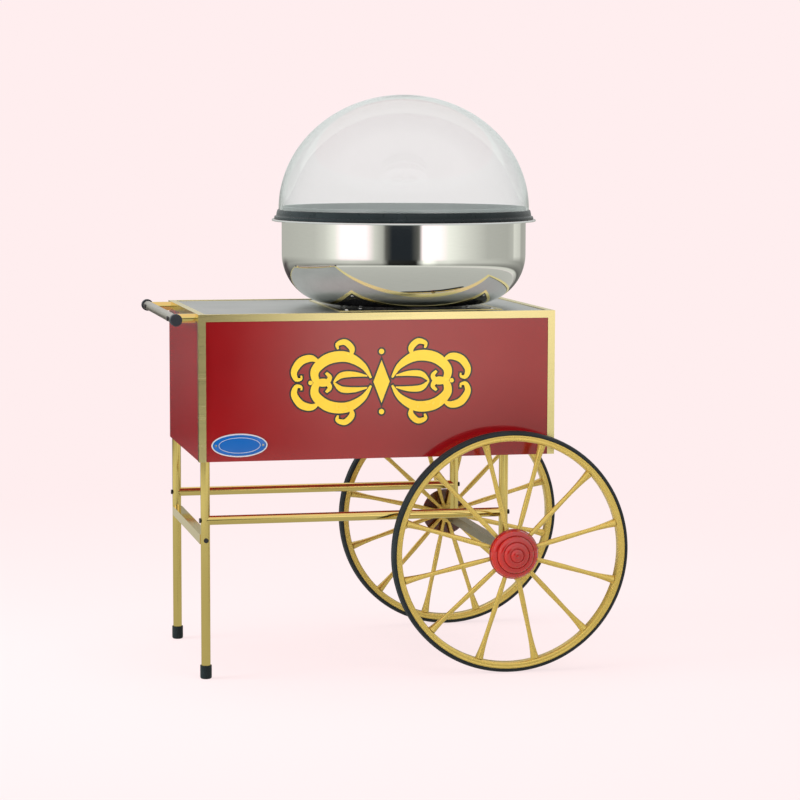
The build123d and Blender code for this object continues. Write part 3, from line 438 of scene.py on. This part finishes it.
def dome_piece():
    """The dome's outer and inner skin, each closed at the crown by a small face."""
    crown_r, near_crown, steps = 1.2, 1.4 * MM, 48
    rise = DOME_TOP - DOME_SPRING
    foot = DOME_LOW + 0.1

    def half(r, h):
        angles = [math.pi / 2 * i / steps for i in range(steps)]
        side = [(r * math.cos(a), DOME_SPRING + h * math.sin(a)) for a in angles]
        return side + [(crown_r, DOME_SPRING + h)]

    def from_axis(v):
        return math.hypot(v.co.x - MACHINE_X * MM, v.co.y)

    inner_r = DOME_R - DOME_WALL
    loop = [(DOME_R - 0.2, foot)] + half(DOME_R, rise) + half(inner_r, rise - DOME_WALL)[::-1]
    loop.append((inner_r + 0.2, foot))
    o = lathe("clear_dome", loop, (MACHINE_X, 0), CLEAR, "dome")
    bm = bmesh.new()
    bm.from_mesh(o.data)
    crown = [v for v in bm.verts if from_axis(v) < near_crown]
    for z in (DOME_TOP, DOME_TOP - DOME_WALL):
        rim = [v for v in crown if abs(v.co.z - z * MM) < 1e-5]
        rim.sort(key=lambda v: math.atan2(v.co.y, v.co.x - MACHINE_X * MM))
        bm.faces.new(rim)
    between = [f for f in bm.faces if len(f.verts) == 4 and all(from_axis(v) < near_crown for v in f.verts)]
    bmesh.ops.delete(bm, geom=between, context="FACES")
    bmesh.ops.recalc_face_normals(bm, faces=bm.faces)
    bm.to_mesh(o.data)
    bm.free()
    smooth(o, 30)
    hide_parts("dome")


bowl_piece()
ring_piece()
dome_piece()


# ---------------------------------------------------------------- wheels
# half outlines: (out from the tyre's radius, out from the wheel's middle plane, corner radius)
TYRE_HALF = [(-8.5, 13.7, 0.4), (-6, 14, 1.2), (-1, 9.8, 2.5), (-1, 3, 0.3), (0, 2, 0.4)]
RIM_HALF = [(-8.5, 12.8, 0.8), (-11.4, 13, 1.2), (-13.2, 12.4, 0.8), (-19, 13, 2.6), (-21.5, 8, 2.6)]


def both_halves(half):
    near = [(WHEEL_R + r, WHEEL_PLANE - out, corner) for r, out, corner in half]
    far = [(WHEEL_R + r, WHEEL_PLANE + out, corner) for r, out, corner in half]
    return near + far[::-1]


def wheel(side, name):
    """Tyre and rim with rounded edges; the spokes, hub and cap are the CAD's own."""
    parts = (("tyre", TYRE_HALF, TYRE, "tyre", 4), ("rim", RIM_HALF, GOLD_WHEEL, "gold_paint", 5))
    for part, half, material, slot, steps in parts:
        outline = rounded(both_halves(half), 1.0, steps)
        o = lathe(f"{name}_{part}_piece", outline, AXLE, material, name, "Y", side)
        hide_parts(f"{name}_{part}")


wheel(-1, "front_wheel")
wheel(1, "back_wheel")

# ---------------------------------------------------------------- badge and painted ornament
YELLOW = paint("yellow_paint", (0.80, 0.52, 0.018), (0.90, 0.62, 0.035), (0.2, 0.3),
               coat=0.6, peel=0.01)
BLACK_LINE = paint("black_paint", (0.012, 0.010, 0.009), (0.022, 0.018, 0.016), (0.2, 0.3),
                   coat=0.6, peel=0.01)
OVAL_STEPS = 96


def oval(a, b, out):
    """An ellipse of points round the badge's middle, standing out from its plate."""
    turns = [2 * math.pi * k / OVAL_STEPS for k in range(OVAL_STEPS)]
    return [(BADGE[0] + a * math.cos(t), BADGE_FACE_Y - out, BADGE[1] + b * math.sin(t)) for t in turns]


def badge_field():
    """Blue enamel on the oval plate, crowned a little."""
    # half width, half height and height over the plate
    rings = [(55.0, 21.4, 0.0), (55.0, 21.4, 0.25), (54.3, 20.7, 0.42), (40.0, 13.0, 0.62),
             (20.0, 6.5, 0.70)]
    verts = [p for ring in rings for p in oval(*ring)]
    last = (len(rings) - 1) * OVAL_STEPS
    faces = ring_faces(len(rings), OVAL_STEPS)
    faces += [tuple(range(last, last + OVAL_STEPS)), tuple(range(OVAL_STEPS))]
    o = mesh_piece("badge_enamel_field", verts, faces, BADGE_BLUE, "cart")
    smooth(o, 40)


def badge_line():
    """A thin raised bright line inside the enamel's edge."""
    half_w, half_h = 42.5, 15.6
    outline = [(0.45, 0.2), (0.45, 0.75), (0.15, 0.95), (-0.15, 0.95), (-0.45, 0.75), (-0.45, 0.2)]
    rows = [oval(half_w + off, half_h + off, out) for off, out in outline]
    verts = [row[k] for k in range(OVAL_STEPS) for row in rows]
    faces = tube_faces(OVAL_STEPS, len(outline))
    o = mesh_piece("badge_inner_line", verts, faces, SILVER, "cart")
    smooth(o, 40)


def smooth_path(points, steps=10):
    """A Catmull-Rom line through points of (x, z, half width)."""
    pts = [points[0]] + points + [points[-1]]
    out = []
    for i in range(1, len(pts) - 2):
        p0, p1, p2, p3 = (Vector(p) for p in pts[i - 1:i + 3])
        for k in range(steps):
            t = k / steps
            out.append(0.5 * (2 * p1 + (p2 - p0) * t + (2 * p0 - 5 * p1 + 4 * p2 - p3) * t * t
                              + (3 * p1 - p0 - 3 * p2 + p3) * t ** 3))
    out.append(Vector(pts[-2]))
    return out


# one quarter of the ornament: lines of (x, z, half width) from its middle
SCROLLS = [
    [(22, 8, 1.5), (40, 34, 5), (74, 52, 8), (112, 48, 8.5), (138, 26, 7), (136, 4, 5.5), (118, -2, 4.5),
     (108, 10, 3.5), (116, 20, 2)],
    [(66, 50, 1), (62, 68, 4.5), (76, 82, 4.5), (92, 78, 3.2), (91, 68, 1.5)],
    [(128, 40, 1), (146, 50, 5), (168, 44, 6), (182, 24, 5), (178, 8, 3.5), (168, 8, 2), (167, 15, 1.2)],
    [(30, 12, 1), (58, 16, 4), (84, 14, 4.5), (100, 0, 1.2)],
]
BEADS = [(0, 62, 5.5), (0, -62, 5.5), (148, 0, 4.5), (-148, 0, 4.5)]


LOZENGE = (17, 44)


def ribbon(verts, faces, points, grow, mirror, low, high):
    """A raised band along a smooth line, widened by grow and mirrored about the ornament's middle."""
    path = smooth_path(points)
    base = len(verts)
    last = len(path) - 1
    for i, p in enumerate(path):
        along = path[min(i + 1, last)] - path[max(i - 1, 0)]
        side = Vector((-along.y, along.x)).normalized()
        width = max(1.3 * p.z, 0.8) + grow
        past_end = grow * (1 if i == last else -1 if i == 0 else 0)
        c = p.xy + along.xy.normalized() * past_end
        for s in (1, -1):
            x = ORNAMENT[0] + mirror[0] * (c.x + s * side.x * width)
            z = ORNAMENT[1] + mirror[1] * (c.y + s * side.y * width)
            verts += [(x, FRONT_Y - low, z), (x, FRONT_Y - high, z)]
    for i in range(last):
        a, b = base + 4 * i, base + 4 * i + 4
        faces += [(a + 1, b + 1, b + 3, a + 3), (a, a + 2, b + 2, b), (a, b, b + 1, a + 1),
                  (a + 2, a + 3, b + 3, b + 2)]
    a, b = base, base + 4 * last
    faces += [(a, a + 1, a + 3, a + 2), (b, b + 2, b + 3, b + 1)]


def flat_shape(verts, faces, x, z, rim, low, high):
    """A raised flat shape with the outline rim about (x, z) from the ornament's middle."""
    base, n = len(verts), len(rim)
    for y in (low, high):
        verts += [(ORNAMENT[0] + x + px, FRONT_Y - y, ORNAMENT[1] + z + pz) for px, pz in rim]
    faces += [tuple(range(base, base + n)), tuple(range(base + n, base + 2 * n))]
    faces += ring_faces(2, n, base)


def circle(r, steps=28):
    turns = [2 * math.pi * k / steps for k in range(steps)]
    return [(r * math.cos(t), r * math.sin(t)) for t in turns]


def ornament():
    """Mirrored scrolls with a lozenge between them, yellow with a black edge."""
    # the black edge's extra width, and how far the paint stands out; the layers differ so that none flicker
    edge_w, layer_step, bead_step, lozenge_step = 3.4, 0.004, 0.07, 0.08
    coats = (("ornament_edge", BLACK_LINE, "black_plastic", edge_w, 0.0, 0.12),
             ("ornament_yellow", YELLOW, "gold_paint", 0.0, 0.1, 0.25))
    for name, material, slot, grow, low, high in coats:
        verts, faces = [], []
        layer = 0
        for points in SCROLLS:
            for mirror in ((1, 1), (-1, 1), (1, -1), (-1, -1)):
                ribbon(verts, faces, points, grow, mirror, low, high + layer_step * layer)
                layer += 1
        for x, z, r in BEADS:
            flat_shape(verts, faces, x, z, circle(r + grow), low, high + bead_step)
        w, h = (size * (1 + grow / 15) for size in LOZENGE)
        flat_shape(verts, faces, 0, 0, [(w, 0), (0, h), (-w, 0), (0, -h)], low, high + lozenge_step)
        mesh_piece(name, verts, faces, material, "cart")


badge_field()
badge_line()
ornament()

# ---------------------------------------------------------------- marks on the operator's side
MARK = dull("printed_marks", (0.020, 0.020, 0.022), (0.035, 0.034, 0.036), (0.4, 0.5), 300.0, 0.02)
MARK_THICK = 0.12
DIAL_START, DIAL_TURN = 225, 270
DIAL_NUMBERS = 6
TICK_R, NUMBER_R = 20.5, 28.5
DIAL_TEXT, SWITCH_TEXT = 6.5, 7
SWITCH_TEXT_OFF = 27


def printed_text(name, words, x, z, height):
    """Plain characters printed on the control plate, read from behind the cart."""
    data = bpy.data.curves.new(name, "FONT")
    data.body = words
    data.size = height * MM
    data.align_x = "CENTER"
    data.align_y = "CENTER"
    data.extrude = MARK_THICK / 2 * MM
    o = bpy.data.objects.new(name, data)
    scene.collection.objects.link(o)
    bpy.context.view_layer.update()
    mesh = bpy.data.meshes.new_from_object(o.evaluated_get(bpy.context.evaluated_depsgraph_get()))
    bpy.data.objects.remove(o)
    turn = Matrix(((-1, 0, 0), (0, 0, 1), (0, 1, 0))).to_4x4()
    mesh.transform(Matrix.Translation((x * MM, (CONTROL_FACE_Y + MARK_THICK / 2) * MM, z * MM)) @ turn)
    piece = bpy.data.objects.new(name, mesh)
    scene.collection.objects.link(piece)
    mesh.materials.clear()
    mesh.materials.append(MARK)
    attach(piece, "cart")


def dial_angle(i, parts):
    return math.radians(DIAL_START - DIAL_TURN * i / parts)


def dial_ticks():
    """Ticks on an arc round the heat knob, a long one at each number and a short one between two."""
    long_tick, short_tick, half_width = 3.4, 2.0, 0.35
    gaps = 2 * (DIAL_NUMBERS - 1)
    verts, faces = [], []
    for i in range(gaps + 1):
        a = dial_angle(i, gaps)
        length = long_tick if i % 2 == 0 else short_tick
        out = Vector((math.cos(a), math.sin(a)))
        side = Vector((-out.y, out.x)) * half_width
        base = len(verts)
        for y in (CONTROL_FACE_Y, CONTROL_FACE_Y + MARK_THICK):
            for r, s in ((TICK_R, -1), (TICK_R, 1), (TICK_R + length, 1), (TICK_R + length, -1)):
                c = out * r + side * s
                verts.append((KNOB[0] - c.x, y, KNOB[1] + c.y))
        faces += [tuple(range(base, base + 4)), tuple(range(base + 7, base + 3, -1))]
        faces += ring_faces(2, 4, base)
    mesh_piece("dial_ticks", verts, faces, MARK, "cart")


dial_ticks()
for i in range(DIAL_NUMBERS):
    a = dial_angle(i, DIAL_NUMBERS - 1)
    at = (KNOB[0] - NUMBER_R * math.cos(a), KNOB[1] + NUMBER_R * math.sin(a))
    printed_text(f"dial_number_{i}", str(i), *at, DIAL_TEXT)
printed_text("switch_mark_on", "ON", ROCKER[0], ROCKER[1] - SWITCH_TEXT_OFF, SWITCH_TEXT)
printed_text("switch_mark_off", "OFF", ROCKER[0], ROCKER[1] + SWITCH_TEXT_OFF, SWITCH_TEXT)


def deck_screws():
    """Pan-head screws with a cross recess, in place of the plain ones."""
    shank_r, head_r, head_h, steps = 2.0, 4.0, 2.5, 48
    cross_half, cross_arm, cross_deep = 0.55, 2.2, 1.1
    outer = SCREW_REACH - head_r
    places = [(sx * px, sy * py) for px, py in ((outer, outer), HOUSING_SCREW)
              for sx in (-1, 1) for sy in (-1, 1)]
    seat = SCREW_TOP - head_h
    rings = [(shank_r, SCREW_LOW), (shank_r, seat), (head_r, seat), (head_r, seat + 0.9),
             (head_r - 0.3, seat + 1.7), (head_r - 1, SCREW_TOP - 0.25)]
    h, r = cross_half, cross_arm
    cross = [(r, -h), (r, h), (h, h), (h, r), (-h, r), (-h, h), (-r, h), (-r, -h), (-h, -h), (-h, -r),
             (h, -r), (h, -h)]
    cross.sort(key=lambda p: math.atan2(p[1], p[0]))
    turns = [2 * math.pi * k / steps for k in range(steps)]
    bearings = [math.atan2(y, x) for x, y in cross]
    points = len(cross)
    # each point of the head's top edge is joined to the recess point nearest to it
    near = [min(range(points), key=lambda q: abs(math.remainder(t - bearings[q], 2 * math.pi)))
            for t in turns]
    verts, faces = [], []
    for n, (dx, dy) in enumerate(places):
        cx, cy = MACHINE_X + dx, dy
        twist = 0.7 * n
        base = len(verts)
        for radius, z in rings:
            verts += [(cx + radius * math.cos(t + twist), cy + radius * math.sin(t + twist), z)
                      for t in turns]
        faces += ring_faces(len(rings), steps, base)
        faces.append(tuple(range(base, base + steps)))
        top_edge = base + (len(rings) - 1) * steps
        lip = len(verts)
        c, s = math.cos(twist), math.sin(twist)
        for z in (SCREW_TOP, SCREW_TOP - cross_deep):
            verts += [(cx + x * c - y * s, cy + x * s + y * c, z) for x, y in cross]
        faces.append(tuple(range(lip + points, lip + 2 * points)))
        faces += ring_faces(2, points, lip)
        for k in range(steps):
            j = (k + 1) % steps
            corners = [top_edge + k, top_edge + j, lip + near[j]]
            if near[k] != near[j]:
                corners.append(lip + near[k])
            faces.append(tuple(corners))
    o = mesh_piece("cross_head_screws", verts, faces, BRIGHT, "cart")
    smooth(o, 35)
    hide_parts("deck_screws")


deck_screws()

# ---------------------------------------------------------------- CAD nodes that keep their shape
KEPT = {
    RED: ["front_panel", "back_panel", "left_panel", "right_panel", "bottom_panel", "door"],
    CAP_RED_SHADED: ["front_wheel_hub_cap", "back_wheel_hub_cap"],
    PLATE: ["top_plate", "control_plate"],
    GOLD_TRIM: ["top_trim", "corner_trims", "well_trim"],
    GOLD_TUBE: ["leg_front_left", "leg_back_left", "leg_front_right", "leg_back_right"],
    GOLD_BAR: ["stretcher_front", "stretcher_back", "handle_spacers", "left_cross_rail"],
    TAUPE: ["axle_beam", "axle_spacers"],
    GOLD_WHEEL: ["front_wheel_spokes", "back_wheel_spokes", "front_wheel_hub", "back_wheel_hub"],
    RUBBER: ["rubber_feet"],
    PLASTIC: ["handle_end_caps", "switch_bodies", "power_rocker", "heat_knob", "power_inlet",
              "brush_holder"],
    STEEL: ["axle", "axle_nuts", "spinner_shaft", "motor_bracket", "door_hinges"],
    GALVANISED: ["machine_housing"],
    BLACK_METAL: ["frame_bolts", "motor"],
    DECK: ["machine_deck"],
    BRIGHT: ["badge_rivets", "door_knob"],
    SILVER: ["badge_plate"],
    HANDLE: ["handle_bar"],
    BRASS: ["slip_rings"],
    ALUMINIUM: ["spinner_dish", "spinner_cover"],
    HEATER: ["heater_ribbon"],
}
for material, names in KEPT.items():
    for name in names:
        dress(nodes[name], material)

# ---------------------------------------------------------------- floor, backdrop, light and camera
PINK = (1.0, 0.855, 0.863)


WORLD_LIGHT, WORLD_TINT = 0.62, (0.93, 0.95, 0.94)
FLOOR_HALF = 30
# how much of the floor's own glow the camera sees, near the cart and far from it, in metres
FLOOR_GLOW_NEAR, FLOOR_GLOW_FAR = 0.84, 1.0
FLOOR_FADE = (0.7, 2.6)


def blank(holder, out_kind):
    """An empty node tree with its output node."""
    holder.use_nodes = True
    nt = holder.node_tree
    nt.nodes.clear()
    return nt, put(nt, out_kind)


def seen_rays(nt):
    """1 for the rays that see the backdrop: camera, transmission and glossy ones."""
    path = put(nt, "ShaderNodeLightPath")
    direct = math_node(nt, "MAXIMUM", path.outputs["Is Camera Ray"], path.outputs["Is Transmission Ray"])
    return math_node(nt, "MAXIMUM", direct, path.outputs["Is Glossy Ray"])


def mix_shaders(nt, share, a, b, out):
    mix = put(nt, "ShaderNodeMixShader")
    nt.links.new(share, mix.inputs["Fac"])
    nt.links.new(a.outputs[0], mix.inputs[1])
    nt.links.new(b.outputs[0], mix.inputs[2])
    nt.links.new(mix.outputs[0], out.inputs["Surface"])


def from_middle(nt):
    """Distance from the object's own origin."""
    co = put(nt, "ShaderNodeTexCoord")
    reach = put(nt, "ShaderNodeVectorMath", operation="LENGTH")
    nt.links.new(co.outputs["Object"], reach.inputs[0])
    return reach.outputs["Value"]


def floor_material():
    """Pale floor that keeps the shadow and fades into the backdrop with distance."""
    m = bpy.data.materials.new("floor_pale")
    nt, out = blank(m, "ShaderNodeOutputMaterial")
    matte = put(nt, "ShaderNodeBsdfDiffuse")
    matte.inputs["Color"].default_value = (*PINK, 1)
    glow = put(nt, "ShaderNodeEmission")
    glow.inputs["Color"].default_value = (*PINK, 1)
    glow.inputs["Strength"].default_value = 1.0
    far = spread(nt, from_middle(nt), FLOOR_GLOW_NEAR, FLOOR_GLOW_FAR, *FLOOR_FADE)
    mix_shaders(nt, math_node(nt, "MULTIPLY", seen_rays(nt), far), matte, glow, out)
    return m


def link_object(name, mesh, material):
    mesh.materials.append(material)
    o = bpy.data.objects.new(name, mesh)
    scene.collection.objects.link(o)
    return o


def floor():
    mesh = bpy.data.meshes.new("floor")
    corners = [(-FLOOR_HALF, -FLOOR_HALF, 0), (FLOOR_HALF, -FLOOR_HALF, 0), (FLOOR_HALF, FLOOR_HALF, 0),
               (-FLOOR_HALF, FLOOR_HALF, 0)]
    mesh.from_pydata(corners, [], [(0, 1, 2, 3)])
    link_object("floor", mesh, floor_material())


def studio_world():
    """Even light, and the pale backdrop for the rays that see it."""
    world = bpy.data.worlds.new("studio")
    scene.world = world
    nt, out = blank(world, "ShaderNodeOutputWorld")
    light = put(nt, "ShaderNodeBackground")
    light.inputs["Color"].default_value = (*WORLD_TINT, 1)
    light.inputs["Strength"].default_value = WORLD_LIGHT
    backdrop = put(nt, "ShaderNodeBackground")
    backdrop.inputs["Color"].default_value = (*PINK, 1)
    backdrop.inputs["Strength"].default_value = 1.0
    mix_shaders(nt, seen_rays(nt), light, backdrop, out)


floor()
studio_world()


BEIGE = (1.0, 1.0, 0.90)
ROSY = (1.0, 0.86, 0.87)
COOL = (0.7, 0.85, 1.0)
SURROUND_LEVEL = 1.5
SURROUND_R, SURROUND_TOP, SURROUND_STEPS = 2.6, 2.6, 96
CARD_Z = 0.0005
# heights in metres over which one ramp of the surround gives way to the next
FOOT_BAND, LOW_BAND, RIM_BAND = (0.12, 0.19), (0.52, 0.70), (0.835, 0.86)
LOW_DIM_BAND, ABOVE_BAND = (0.2, 0.42), (0.84, 1.1)
# level of the surround by azimuth, 0 straight in front and 90 to the right: what the bowl's wall mirrors
WALL_STOPS = [(-180, 0.45, BEIGE), (-158, 0.52, BEIGE), (-132, 0.57, BEIGE), (-101, 0.62, BEIGE),
              (-88, 0.76, BEIGE), (-77, 1.05, BEIGE), (-70, 1.50, ROSY), (-46, 1.50, ROSY),
              (-38, 0.78, BEIGE), (-31, 0.50, BEIGE), (-28, 0.12, BEIGE), (-23, 0.03, COOL),
              (-6, 0.03, COOL), (0, 0.12, BEIGE), (2.4, 0.3, BEIGE), (3.4, 1.50, ROSY), (20, 1.50, ROSY),
              (28, 1.12, BEIGE), (46, 0.82, BEIGE), (69, 0.54, BEIGE), (97, 0.50, BEIGE),
              (108, 0.58, BEIGE), (109, 0.84, BEIGE), (124, 0.70, BEIGE), (128, 0.45, BEIGE),
              (180, 0.45, BEIGE)]
# lower down, what the panels mirror
LOW_STOPS = [(-180, 0.10, ROSY), (-160, 0.10, ROSY), (-148, 0.35, BEIGE), (-100, 0.58, BEIGE),
             (-60, 0.75, BEIGE), (-32, 0.55, BEIGE), (-26, 0.03, BEIGE), (-1.5, 0.02, BEIGE),
             (1.2, 0.40, BEIGE), (3.6, 0.85, BEIGE), (5.5, 1.35, BEIGE), (9.4, 1.45, BEIGE),
             (14, 1.25, BEIGE), (18.5, 0.95, BEIGE), (28, 0.95, BEIGE), (40, 0.75, BEIGE),
             (100, 0.5, BEIGE), (140, 0.25, BEIGE), (180, 0.10, ROSY)]
# near the floor, what the stretchers and wheels mirror
FOOT_STOPS = [(-180, 0.10, ROSY), (-150, 0.10, ROSY), (-120, 0.80, BEIGE), (120, 0.80, BEIGE),
              (150, 0.10, ROSY), (180, 0.10, ROSY)]

# above the bowl, and on the floor from the middle outwards
UPPER_STOPS = [(0, (0.30, 0.31, 0.305)), (0.15, (0.46, 0.475, 0.465)), (1, (0.66, 0.67, 0.66))]
CARD_STOPS = [(0, (0.34, 0.34, 0.31)), (1, (0.40, 0.40, 0.365))]


def round_ramp(nt, turn_share, stops):
    shown = [(az / 360 + 0.5, [level / SURROUND_LEVEL * c for c in tint]) for az, level, tint in stops]
    return ramp(nt, turn_share, shown)


def blend(nt, fac, a, b):
    mix = put(nt, "ShaderNodeMix", data_type="RGBA")
    nt.links.new(fac, mix.inputs["Factor"])
    nt.links.new(a, mix.inputs[6])
    nt.links.new(b, mix.inputs[7])
    return mix.outputs[2]


def glow_material(name):
    """A glow that only a mirroring surface sees, and clear to every other ray."""
    m = bpy.data.materials.new(name)
    nt, out = blank(m, "ShaderNodeOutputMaterial")
    glow = put(nt, "ShaderNodeEmission")
    glow.inputs["Strength"].default_value = SURROUND_LEVEL
    path = put(nt, "ShaderNodeLightPath")
    mix_shaders(nt, path.outputs["Glossy Depth"], put(nt, "ShaderNodeBsdfTransparent"), glow, out)
    return m, nt, glow


def reflection_only(o):
    o.visible_camera = False
    o.visible_diffuse = False
    o.visible_shadow = False


def studio_circle(z):
    turns = [2 * math.pi * i / SURROUND_STEPS for i in range(SURROUND_STEPS)]
    return [(SURROUND_R * math.cos(t), SURROUND_R * math.sin(t), z) for t in turns]


def surround():
    """A round studio wall about the machine, seen only in reflections."""
    m, nt, glow = glow_material("surround")
    co = put(nt, "ShaderNodeTexCoord")
    parts = put(nt, "ShaderNodeSeparateXYZ")
    nt.links.new(co.outputs["Object"], parts.inputs[0])
    height = parts.outputs["Z"]
    ahead = math_node(nt, "MULTIPLY", parts.outputs["Y"], -1.0)
    share = spread(nt, math_node(nt, "ARCTAN2", parts.outputs["X"], ahead), 0, 1, -math.pi, math.pi)
    wall = round_ramp(nt, share, WALL_STOPS)
    low = put(nt, "ShaderNodeVectorMath", operation="SCALE")
    nt.links.new(round_ramp(nt, share, LOW_STOPS), low.inputs[0])
    nt.links.new(spread(nt, height, 0.5, 1.0, *LOW_DIM_BAND), low.inputs["Scale"])
    foot = round_ramp(nt, share, FOOT_STOPS)
    lower = blend(nt, spread(nt, height, 0, 1, *FOOT_BAND), foot, low.outputs[0])
    lower = blend(nt, spread(nt, height, 0, 1, *LOW_BAND), lower, wall)
    upper = ramp(nt, spread(nt, height, 0, 1, ABOVE_BAND[0], SURROUND_TOP), UPPER_STOPS)
    upper = blend(nt, spread(nt, height, 0.75, 0.0, *ABOVE_BAND), upper, wall)
    nt.links.new(blend(nt, spread(nt, height, 0, 1, *RIM_BAND), lower, upper), glow.inputs["Color"])
    mesh = bpy.data.meshes.new("surround")
    mesh.from_pydata(studio_circle(0.0) + studio_circle(SURROUND_TOP), [], ring_faces(2, SURROUND_STEPS))
    o = link_object("surround", mesh, m)
    o.location = (MACHINE_X * MM, 0, 0)
    reflection_only(o)


def floor_card():
    """The grey of the floor as the polished bowl mirrors it."""
    m, nt, glow = glow_material("floor_card")
    tone = ramp(nt, spread(nt, from_middle(nt), 0, 1, 0.4, SURROUND_R), CARD_STOPS)
    nt.links.new(tone, glow.inputs["Color"])
    mesh = bpy.data.meshes.new("floor_card")
    mesh.from_pydata(studio_circle(CARD_Z), [], [tuple(range(SURROUND_STEPS))])
    reflection_only(link_object("floor_card", mesh, m))


surround()
floor_card()


def lamp(name, place_at, target, size, power):
    """A soft lamp that lights the cart but shows in no reflection."""
    data = bpy.data.lights.new(name, "AREA")
    data.shape = "RECTANGLE"
    data.size, data.size_y = size
    data.energy = power
    o = bpy.data.objects.new(name, data)
    o.location = place_at
    o.rotation_euler = (Vector(target) - Vector(place_at)).to_track_quat("-Z", "Y").to_euler()
    o.visible_glossy = False
    o.visible_transmission = False
    scene.collection.objects.link(o)


lamp("key", (1.6, -4.2, 3.4), (0.1, 0, 0.6), (2.6, 2.0), 82)
lamp("fill", (-4.4, -0.2, 1.4), (-0.1, 0, 0.6), (2.4, 2.4), 330)
lamp("top", (0.0, 0.2, 4.2), (0, 0, 0.8), (3.0, 3.0), 70)

# the photo's camera, solved from the corners of the cabinet, the wheels and the feet
CAMERA_AT = (-1.15879, -5.46493, 1.12076)
CAMERA_DOWN, CAMERA_TURN, CAMERA_ROLL = 5.8959, -12.4793, 0.1488
FOCAL_PIXELS, PICTURE_PIXELS, SENSOR = 2621.013, 800, 36
FAR_CLIP = 200

cam_data = bpy.data.cameras.new("camera")
cam = bpy.data.objects.new("camera", cam_data)
scene.collection.objects.link(cam)
cam_data.sensor_width = SENSOR
cam_data.lens = FOCAL_PIXELS / PICTURE_PIXELS * SENSOR
cam_data.clip_end = FAR_CLIP
turn = Euler((math.radians(90 - CAMERA_DOWN), 0, math.radians(CAMERA_TURN))).to_matrix()
roll = Matrix.Rotation(math.radians(CAMERA_ROLL), 3, "Z")
cam.matrix_world = Matrix.Translation(CAMERA_AT) @ (turn @ roll).to_4x4()
scene.camera = cam
scene.view_settings.view_transform = "Standard"
